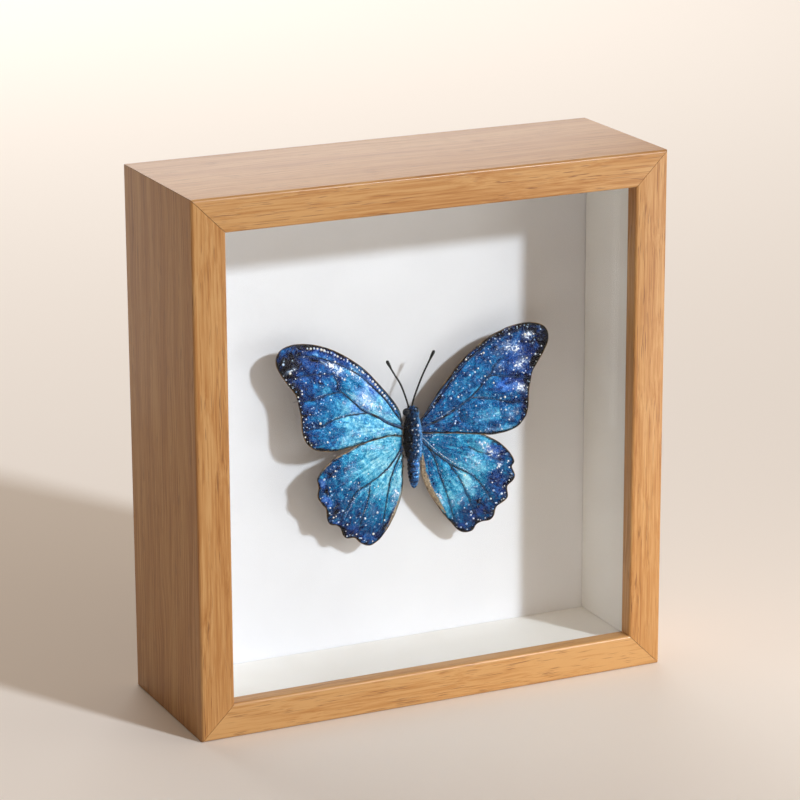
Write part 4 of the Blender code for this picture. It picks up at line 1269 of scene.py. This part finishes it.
# Fine rows of white beads beside veins, on the side that faces the sun, as painted highlights: spacing,
# radius, path
VEIN_HIGHLIGHT_ROWS = {
    "forewing_left": [
        (0.5, 0.15, [(-25.5, 14.6), (-31, 14.6), (-37, 13.6)]),
        (0.5, 0.15, [(-32.2, 27.2), (-33.6, 31.2)]), (0.55, 0.14, [(-38.0, 24.9), (-43.5, 24.0)]),
        (0.6, 0.13, [(-24, 19.0), (-29.5, 24.4)])],
    "forewing_right": [
        (0.55, 0.14, [(10.5, 5.4), (15, 7.2), (20, 9.8)]),
        (0.55, 0.14, [(5, 9.2), (9, 13.2), (13.5, 18.4)]), (0.55, 0.13, [(30, 12.8), (35, 11.9)])],
    "hindwing_left": [
        (0.5, 0.17, [(-5.2, -6.2), (-8.8, -11.0), (-11.5, -13.4)]),
        (0.5, 0.17, [(-19.5, -18.2), (-26.0, -21.4), (-29.5, -26.6), (-32.3, -31.0)]),
        (0.5, 0.16, [(-4.6, -8.5), (-7.6, -15.5), (-9.4, -24.0)]),
        (0.7, 0.14, [(-20.8, -20), (-21.6, -27), (-23.8, -33)])],
    "hindwing_right": [
        (0.45, 0.18, [(5.0, -1.4), (12.8, -9.8), (19.8, -15.6), (24.0, -18.6), (28.2, -21.6)]),
        (0.6, 0.13, [(5, -0.6), (14.5, -2.0), (22, -4.6)]),
        (0.5, 0.14, [(19.2, -17.0), (24.2, -22.6), (27.2, -27.0)]),
        (0.6, 0.13, [(10.5, -12.0), (14.5, -22.5)])],
}
# Single large beads
LARGE_BEADS = {
    "forewing_left": [
        (-54, 35.9), (-41, 30.2), (-49.6, 27.8), (-44.2, 17.7), (-42.3, 12.9), (-50.4, 12.8),
        (-37.5, 36.8), (-33, 37.0), (-24.7, 31.7), (-29.5, 29.3), (-19.8, 18.6), (-14.0, 15.2),
        (-36.5, 21.8), (-56.8, 39.6)],
    "forewing_right": [
        (41.4, 34.9), (34.3, 31.0), (31.3, 24.8), (46.9, 37.1), (57.8, 27.6), (53.6, 26.4),
        (18.3, 13.9), (21.7, 13.8), (42.6, 11.2), (47.7, 10.5), (42.6, 5.7), (51.6, 14.8), (54.0, 36.2),
        (57.6, 36.0), (44.0, 1.2), (38.5, 22.5), (37.0, 27.0)],
    "hindwing_left": [
        (-33.4, -17.4), (-39.1, -27.2), (-29.6, -31.0), (-16.7, -31.1), (-18.3, -40.7), (-24.7, -41.4),
        (-22.2, -33.0), (-37.6, -29.4), (-41.6, -11.6), (-33.0, -27.4)],
    "hindwing_right": [
        (33, -7.9), (29.8, -12.9), (39.9, -18.9), (40.4, -22.5), (37.1, -30.3), (40.8, -32),
        (36.1, -34), (18.2, -32.2), (23.9, -36.2), (28.3, -42), (25.4, -44), (10.0, -5.5),
        (24.5, -14.6), (36.0, -13.6)],
}
LARGE_RADIUS = 0.52
BEAD_MARGIN = 0.45  # no bead's middle is nearer to the rim
BEAD_STRAY = 0.12  # how far a placed bead strays, as a standard deviation
BEAD_SIZES = (0.5, 1.15)  # from and to, as shares of the radius that its row gives
ROW_STEP = 0.4  # between the points of a row's path


def spaced(line, spacing):
    """Points at a spacing along a line."""
    length = np.r_[0, np.cumsum(np.linalg.norm(np.diff(line, axis=0), axis=1))]
    stops = np.arange(spacing / 2, length[-1], spacing)
    return np.column_stack([np.interp(stops, length, line[:, k]) for k in range(2)])


def placed_beads(node, wing, chance):
    """Places on the wing and radii of the beads in rows and of the single ones."""
    runs = [(spaced(wing.along_rim(first, last, inset), spacing), radius)
            for first, last, inset, spacing, radius in RIM_ROWS[node]]
    runs += [(spaced(smooth_path(path, ROW_STEP), spacing), radius)
             for spacing, radius, path in VEIN_HIGHLIGHT_ROWS[node]]
    runs.append((np.array(LARGE_BEADS[node]), LARGE_RADIUS))
    uv = np.vstack([run for run, _ in runs])
    radii = np.concatenate([radius * chance.uniform(*BEAD_SIZES, len(run)) for run, radius in runs])
    uv = uv + chance.normal(0, BEAD_STRAY, uv.shape)
    kept = inside(uv, wing.rim) & (wing.from_rim(uv) > BEAD_MARGIN)
    return uv[kept], radii[kept]


print("large beads:", sum(len(beads) for beads in LARGE_BEADS.values()))

# %% Beads on each wing
SCATTER_DENSITY = 0.045 / MM ** 2  # where the glitter field is 1
SCATTER_RADIUS = 0.50 * MM
SMALLEST = 0.42  # of the scattered beads, as a share of the largest
GLITTER_BASE = 0.35  # the field on plain scales
GLITTER_GAIN = 0.9  # what a deep blue, or full frost, adds to it
SCATTER_MARGIN = 0.5  # no scattered bead is nearer to the rim
FIRST_SEED = 3
for seed, (node, wing) in enumerate(WINGS.items()):
    scattered = wing_object(wing)
    values = {}
    for layer in ("tone", "frost_and_highlight", "rim", "upper"):
        values[layer] = np.empty(len(scattered.data.vertices), np.float32)
        scattered.data.attributes[layer].data.foreach_get("value", values[layer])
    # The glitter grows from azure to royal blue and falls again towards black.
    deep = ease((values["tone"] - 0.4) / 0.3) * (1 - 0.8 * ease((values["tone"] - 0.85) / 0.15))
    glitter = GLITTER_BASE + GLITTER_GAIN * deep + GLITTER_GAIN * values["frost_and_highlight"]
    glitter = glitter * values["upper"] * (values["rim"] > SCATTER_MARGIN)
    layer = scattered.data.attributes.new("glitter", "FLOAT", "POINT")
    layer.data.foreach_set("value", glitter.astype(np.float32))
    scattered.name = f"{node}_glitter"
    grow(scattered, SCATTER_TREE, {
        "Density": SCATTER_DENSITY, "Radius": SCATTER_RADIUS, "Smallest": SMALLEST,
        "Seed": seed + FIRST_SEED, "Finish": BEADS})
    uv, radii = placed_beads(node, wing, np.random.default_rng(seed))
    places = to_case(uv, wing.surface(uv))
    placed = copies(f"{node}_beads", BEAD, places, np.zeros((len(uv), 3)), radii, BEADS)
    for piece in (scattered, placed):
        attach(piece, "root")
        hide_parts(node)
    print(node, "scattered beads:", len(scattered.data.polygons) // 20, "placed beads:", len(uv))

# %% [markdown]
# ## Body
#
# The head, thorax and abdomen grew as one piece. The skin is a row of rings whose width follows a
# few stations along the body, with a groove at each joint of the abdomen. The eyes are balls, and
# the legs are folded under the thorax. The thorax and head are covered in short hairs that lie
# towards the tail. Particle hair would be lost in an export, so a tree plants thin three-sided
# spikes instead, as real mesh.

# %% Body skin, eyes and legs
BODY_Y = BOARD_Y - 12.2
BODY_FLATTENING = 0.95
BODY_STATIONS = (  # places along the body, and its radius there
    (13.2, 0.0), (12.9, 1.0), (12.2, 1.8), (11.0, 2.1), (9.8, 2.1), (8.8, 1.8), (7.6, 2.3), (4.5, 2.9),
    (0.0, 3.1), (-5.0, 2.9), (-8.3, 2.5), (-9.4, 2.3), (-11.0, 2.65), (-14.0, 2.7),
    (-17.5, 2.45), (-20.5, 1.9), (-22.3, 1.25), (-23.0, 0.6), (-23.3, 0.0),
)
BODY_SIDES = 48
BODY_STEP = 0.28
BODY_SHIFT = 0.5  # it sits a little to the right of the wings' middle
SEGMENT_JOINTS = (-11.6, -13.6, -15.5, -17.3, -19.0, -20.6, -21.9)
GROOVE_DEPTH = 0.16  # of a segment's joint, as a share of the radius
GROOVE_WIDTH = 0.26
HAIRY_FROM, HAIRY_TO = -9.5, 12.9  # hairs grow between these places along the body
HAIR_THINNING = (1.5, 0.8)  # and thin out over these lengths at the rear and at the head
EYE_RADIUS = 1.7
EYE_PLACES = ((-2.1, 10.8), (1.6, 11.1))
EYE_FRONT = 0.5
# A leg's joints: how far out from the body's middle, over the board, and back from the hip
LEG_JOINTS = ((1.2, 10.0, 0.0), (3.2, 7.4, 3.0), (1.7, 6.4, 8.0), (1.0, 6.9, 11.5))
LEG_HIPS = (4.5, 0.5, -3.5)  # along the body
LEG_SPREAD = 0.25  # how much wider a pair stands than the one in front of it
LEG_THICK, LEG_THIN = 0.34, 0.16  # radii at the hip and at the foot


def body_skin():
    line = smooth_path(BODY_STATIONS, BODY_STEP)
    forward, radius = line[:, 0], np.clip(line[:, 1], 0.02, None)
    for joint in SEGMENT_JOINTS:
        radius = radius * (1 - GROOVE_DEPTH * np.exp(-((forward - joint) / GROOVE_WIDTH) ** 2))
    a = np.linspace(0, 2 * np.pi, BODY_SIDES, endpoint=False)
    points, hairy = [], []
    for v, r in zip(forward, radius):
        uv = np.column_stack([BODY_SHIFT + r * np.cos(a), np.full(BODY_SIDES, v)])
        points.append(to_case(uv, BODY_Y + r * BODY_FLATTENING * np.sin(a)))
        cover = ease((v - HAIRY_FROM) / HAIR_THINNING[0]) * ease((HAIRY_TO - v) / HAIR_THINNING[1])
        hairy.append(np.full(BODY_SIDES, cover))
    rings = len(points)
    faces = [tuple(reversed(range(BODY_SIDES))), tuple(range((rings - 1) * BODY_SIDES, rings * BODY_SIDES))]
    for ring in range(rings - 1):
        for i in range(BODY_SIDES):
            j = (i + 1) % BODY_SIDES
            p, q = ring * BODY_SIDES, (ring + 1) * BODY_SIDES
            faces.append((p + i, p + j, q + j, q + i))
    obj = mesh_object("body_skin", np.vstack(points), faces, layers={"hairy": np.concatenate(hairy)})
    bm = bmesh.new()
    bm.from_mesh(obj.data)
    bmesh.ops.recalc_face_normals(bm, faces=bm.faces)
    bm.to_mesh(obj.data)
    bm.free()
    obj.data.shade_smooth()
    return obj


def lit_and_shaded_body_chitin():
    """Metallic blue cuticle, blue on the right and falling to near black on the left as painted light and
    shade from the sun on the right.
    """
    material, tree, shader = new_material(
        "metallic blue cuticle with painted light", Roughness=0.42, Metallic=0.35, Specular_IOR_Level=0.25)
    where = add(tree, "ShaderNodeTexCoord").outputs["Object"]
    across = add(tree, "ShaderNodeSeparateXYZ", {0: where}).outputs["X"]
    spots = add(tree, "ShaderNodeTexNoise", {
        "Vector": where, "Scale": 1 / (1.3 * MM), "Detail": 3.0, "Roughness": 0.7, "Distortion": 1.0})
    departure = add(tree, "ShaderNodeMath", {0: spots, 1: 0.5}, operation="SUBTRACT")
    moved = add(tree, "ShaderNodeMath", {0: departure, 1: 19.0 * MM, 2: across}, operation="MULTIPLY_ADD")
    # Painted light and shade: blue on the sunlit right of the body, near black on its shaded left.
    side = add(tree, "ShaderNodeMapRange", {
        "Value": moved, "From Min": (SPECIMEN_X - 3.7) * MM, "From Max": (SPECIMEN_X + 3.9) * MM})
    tint = add(tree, "ShaderNodeValToRGB", {"Fac": side}, stops=[
        (0.20, "#050709"), (0.40, "#0B1E3A"), (0.58, "#133E72"), (0.76, "#2266AA"), (0.96, "#74B6EA")])
    tree.links.new(tint.outputs["Color"], shader.inputs["Base Color"])
    bump = add(tree, "ShaderNodeBump", {"Height": spots, "Strength": 0.5, "Distance": 0.15 * MM})
    tree.links.new(bump.outputs["Normal"], shader.inputs["Normal"])
    return material


def eye_object():
    """Two balls with a fine faceted surface."""
    bm = bmesh.new()
    for place in EYE_PLACES:
        ball = bmesh.ops.create_icosphere(bm, subdivisions=4, radius=EYE_RADIUS * MM)
        centre = to_case([place], BODY_Y - EYE_FRONT)[0]
        bmesh.ops.translate(bm, verts=ball["verts"], vec=Vector(centre) * MM)
    obj = mesh_object("eyes", [])
    bm.to_mesh(obj.data)
    bm.free()
    obj.data.shade_smooth()
    return obj


def eye_finish():
    """Compound eye: thousands of tiny lenses that read as a dark satin bead."""
    material, tree, shader = new_material("compound eye", Roughness=0.34, IOR=1.5, Specular_IOR_Level=0.25)
    where = add(tree, "ShaderNodeTexCoord").outputs["Object"]
    lenses = add(tree, "ShaderNodeTexVoronoi", {"Vector": where, "Scale": 1 / (0.22 * MM)})
    tint = add(tree, "ShaderNodeValToRGB", {"Fac": lenses}, stops=[(0.1, "#122740"), (0.6, "#030407")])
    tree.links.new(tint.outputs["Color"], shader.inputs["Base Color"])
    bump = add(tree, "ShaderNodeBump", {
        "Height": lenses, "Strength": 0.5, "Distance": 0.08 * MM}, invert=True)
    tree.links.new(bump.outputs["Normal"], shader.inputs["Normal"])
    return material


BODY_FINISH = lit_and_shaded_body_chitin()
body = body_skin()
body.data.materials.append(BODY_FINISH)
eyes = eye_object()
eyes.data.materials.append(eye_finish())
LEG_CHITIN = chitin("black leg cuticle", "#0B0B0E", "#22232A", 1.0)
leg_paths = []
for hand in (-1, 1):
    for pair, hip in enumerate(LEG_HIPS):
        spread = 1 + LEG_SPREAD * pair
        joints = [(hand * u * spread, hip - back, BOARD_Y - height) for u, height, back in LEG_JOINTS]
        line = smooth_path(joints, 0.5)
        radii = np.linspace(LEG_THICK, LEG_THIN, len(line))
        leg_paths.append((to_case(line[:, :2], line[:, 2]), radii, False))
legs = tubes("legs", leg_paths, LEG_CHITIN)
print("body points", len(body.data.vertices), "legs", len(leg_paths))

# %% Hairs
def hair_tree():
    tree, start = new_tree("short hairs", {
        "Density": ("Float", 1e7), "Length": ("Float", 0.001), "Radius": ("Float", 5e-5),
        "Tailward": ("Vector", None), "Seed": ("Int", 1)})
    weight = add(tree, "GeometryNodeInputNamedAttribute", {"Name": "hairy"}, data_type="FLOAT")
    density = add(tree, "ShaderNodeMath", {
        0: weight.outputs["Attribute"], 1: start.outputs["Density"]}, operation="MULTIPLY")
    roots = add(tree, "GeometryNodeDistributePointsOnFaces", {
        "Mesh": start.outputs["Guide"], "Density": density, "Seed": start.outputs["Seed"]})
    stray = add(tree, "FunctionNodeRandomValue", {
        "Min": (-0.4, -0.4, -0.4), "Max": (0.4, 0.4, 0.4), "Seed": start.outputs["Seed"]},
        data_type="FLOAT_VECTOR")
    lying = add(tree, "ShaderNodeVectorMath", {
        0: roots.outputs["Normal"], 1: start.outputs["Tailward"]}, operation="ADD")
    aimed = add(tree, "ShaderNodeVectorMath", {0: lying, 1: stray.outputs[0]}, operation="ADD")
    turn = add(tree, "FunctionNodeAlignRotationToVector", {"Vector": aimed}, axis="Z")
    spike = add(tree, "GeometryNodeMeshCone", {
        "Vertices": 3, "Radius Top": 0.0, "Radius Bottom": start.outputs["Radius"],
        "Depth": start.outputs["Length"]})
    size = add(tree, "FunctionNodeRandomValue", {
        "Min": 0.5, "Max": 1.1, "Seed": start.outputs["Seed"]}, data_type="FLOAT")
    hairs = add(tree, "GeometryNodeInstanceOnPoints", {
        "Points": roots.outputs["Points"], "Instance": spike.outputs["Mesh"], "Rotation": turn,
        "Scale": size.outputs[1]})
    return end_tree(tree, start, hairs)


HAIR_DENSITY = 20 / MM ** 2
HAIR_LENGTH = 1.9 * MM
HAIR_RADIUS = 0.10 * MM
HAIR_LIE = Vector((0.0, 0.0, -1.2))  # added to the skin's outward direction
HAIR_SEED = 11
hair = add_to_scene("body_hair", body.data.copy())
grow(hair, hair_tree(), {
    "Density": HAIR_DENSITY, "Length": HAIR_LENGTH, "Radius": HAIR_RADIUS, "Tailward": HAIR_LIE,
    "Seed": HAIR_SEED, "Finish": BODY_FINISH})
print("hairs:", len(hair.data.polygons) // 4)

# %% Sparks on the body, with painted glints
# White glitter beads, the largest set on the right side that faces the sun as painted glints: places in the
# specimen's frame, and bead radii
GLINT_SPARKS = ((1.7, 5.0, 0.62), (1.8, 0.9, 0.5), (-0.8, 3.4, 0.4), (1.7, -3.4, 0.62), (1.4, -6.2, 0.6),
          (0.2, -7.4, 0.3), (0.6, 8.0, 0.35), (1.5, 12.0, 0.3), (2.6, 2.6, 0.35), (0.8, -1.2, 0.35),
          (-1.9, 0.2, 0.24), (-1.4, -2.4, 0.22), (-2.2, 4.6, 0.24), (-0.9, 6.6, 0.26), (-1.6, -5.4, 0.24),
          (2.9, -1.4, 0.34), (0.3, 1.4, 0.26), (0.9, 3.4, 0.3), (2.3, -5.0, 0.34), (0.4, -4.4, 0.26),
          (1.2, -11.4, 0.3), (1.8, -13.8, 0.26), (0.9, -15.6, 0.24), (-0.6, -10.6, 0.22), (2.0, -17.2, 0.22))
body_line = smooth_path(BODY_STATIONS, BODY_STEP)[::-1]
spark_uv = np.array(GLINT_SPARKS)[:, :2]
spark_width = np.interp(spark_uv[:, 1], body_line[:, 0], body_line[:, 1])
spark_side = spark_uv[:, 0] - BODY_SHIFT
spark_depth = BODY_FLATTENING * np.sqrt(np.maximum(spark_width ** 2 - spark_side ** 2, 0.0))
SPARK_LIFT = 0.35  # over the skin, among the hairs
sparks = copies("body_sparks", BEAD, to_case(spark_uv, BODY_Y - spark_depth - SPARK_LIFT),
                np.zeros((len(GLINT_SPARKS), 3)), np.array(GLINT_SPARKS)[:, 2], BEADS)
bpy.data.objects.remove(BEAD)
for piece in (body, eyes, legs, hair, sparks):
    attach(piece, "root")
    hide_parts("butterfly_body")
print("sparks:", len(GLINT_SPARKS))

# %% [markdown]
# ## Antennae and pin
#
# An antenna is a row of some forty short joints that thicken into a club. The tube tree makes it,
# with a guide whose thickness dips a little at every joint. The pin behind the thorax keeps its
# solid and gets the finish of dark spring steel.

# %% Antennae and pin
ANTENNAE = {
    "antenna_left": (
        (-1.3, 12.4), (-1.3, 13.5), (-2.5, 17.6), (-4.9, 23.8), (-8.2, 29.4), (-11.1, 35.0)),
    "antenna_right": (
        (0.6, 12.4), (0.6, 13.5), (1.4, 16.5), (3.2, 21.1), (5.5, 26.3), (8.3, 31.6), (10.8, 36.2)),
}
ANTENNA_HEIGHTS = (12.6, 14.2)  # over the board, at the head and at the tip
ANTENNA_RADIUS = 0.41
CLUB_RADIUS = 0.74
CLUB_START = 0.82  # as a share of the antenna's length
JOINT_LENGTH = 0.6
JOINT_POINTS = 4
JOINT_DIP = 0.14  # how much thinner an antenna is at each joint
ROUND_TIP = 0.02  # the share of its length over which the club rounds off
ANTENNA_CHITIN = chitin("black antenna cuticle", "#020202", "#08080A", 0.8, roughness=0.5)
for name, path in ANTENNAE.items():
    line = smooth_path(path, JOINT_LENGTH / JOINT_POINTS)
    share = np.linspace(0, 1, len(line))
    club = np.sin(np.clip((share - CLUB_START) / (1 - CLUB_START), 0, 1) * np.pi / 2)
    radii = ANTENNA_RADIUS + (CLUB_RADIUS - ANTENNA_RADIUS) * club
    joints = np.abs(np.sin(np.arange(len(line)) * np.pi / JOINT_POINTS))
    radii = radii * (1 - JOINT_DIP + JOINT_DIP * joints)
    radii = radii * np.sqrt(np.clip((1.0 - share) / ROUND_TIP, 0.05, 1))
    y = BOARD_Y - np.interp(share, (0, 1), ANTENNA_HEIGHTS)
    antenna = tubes(f"{name}_joints", [(to_case(line, y), radii, False)], ANTENNA_CHITIN, sides=12)
    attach(antenna, "root")
    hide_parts(name)
    print(antenna.name, len(antenna.data.polygons), "faces")

# Blued spring steel wire, drawn: dark and smooth
refinish("mounting_pin", mottled(
    "blued spring steel", 0.4, [(0.3, "#3A3D45"), (0.7, "#565B66")], Roughness=0.3, Metallic=1.0))
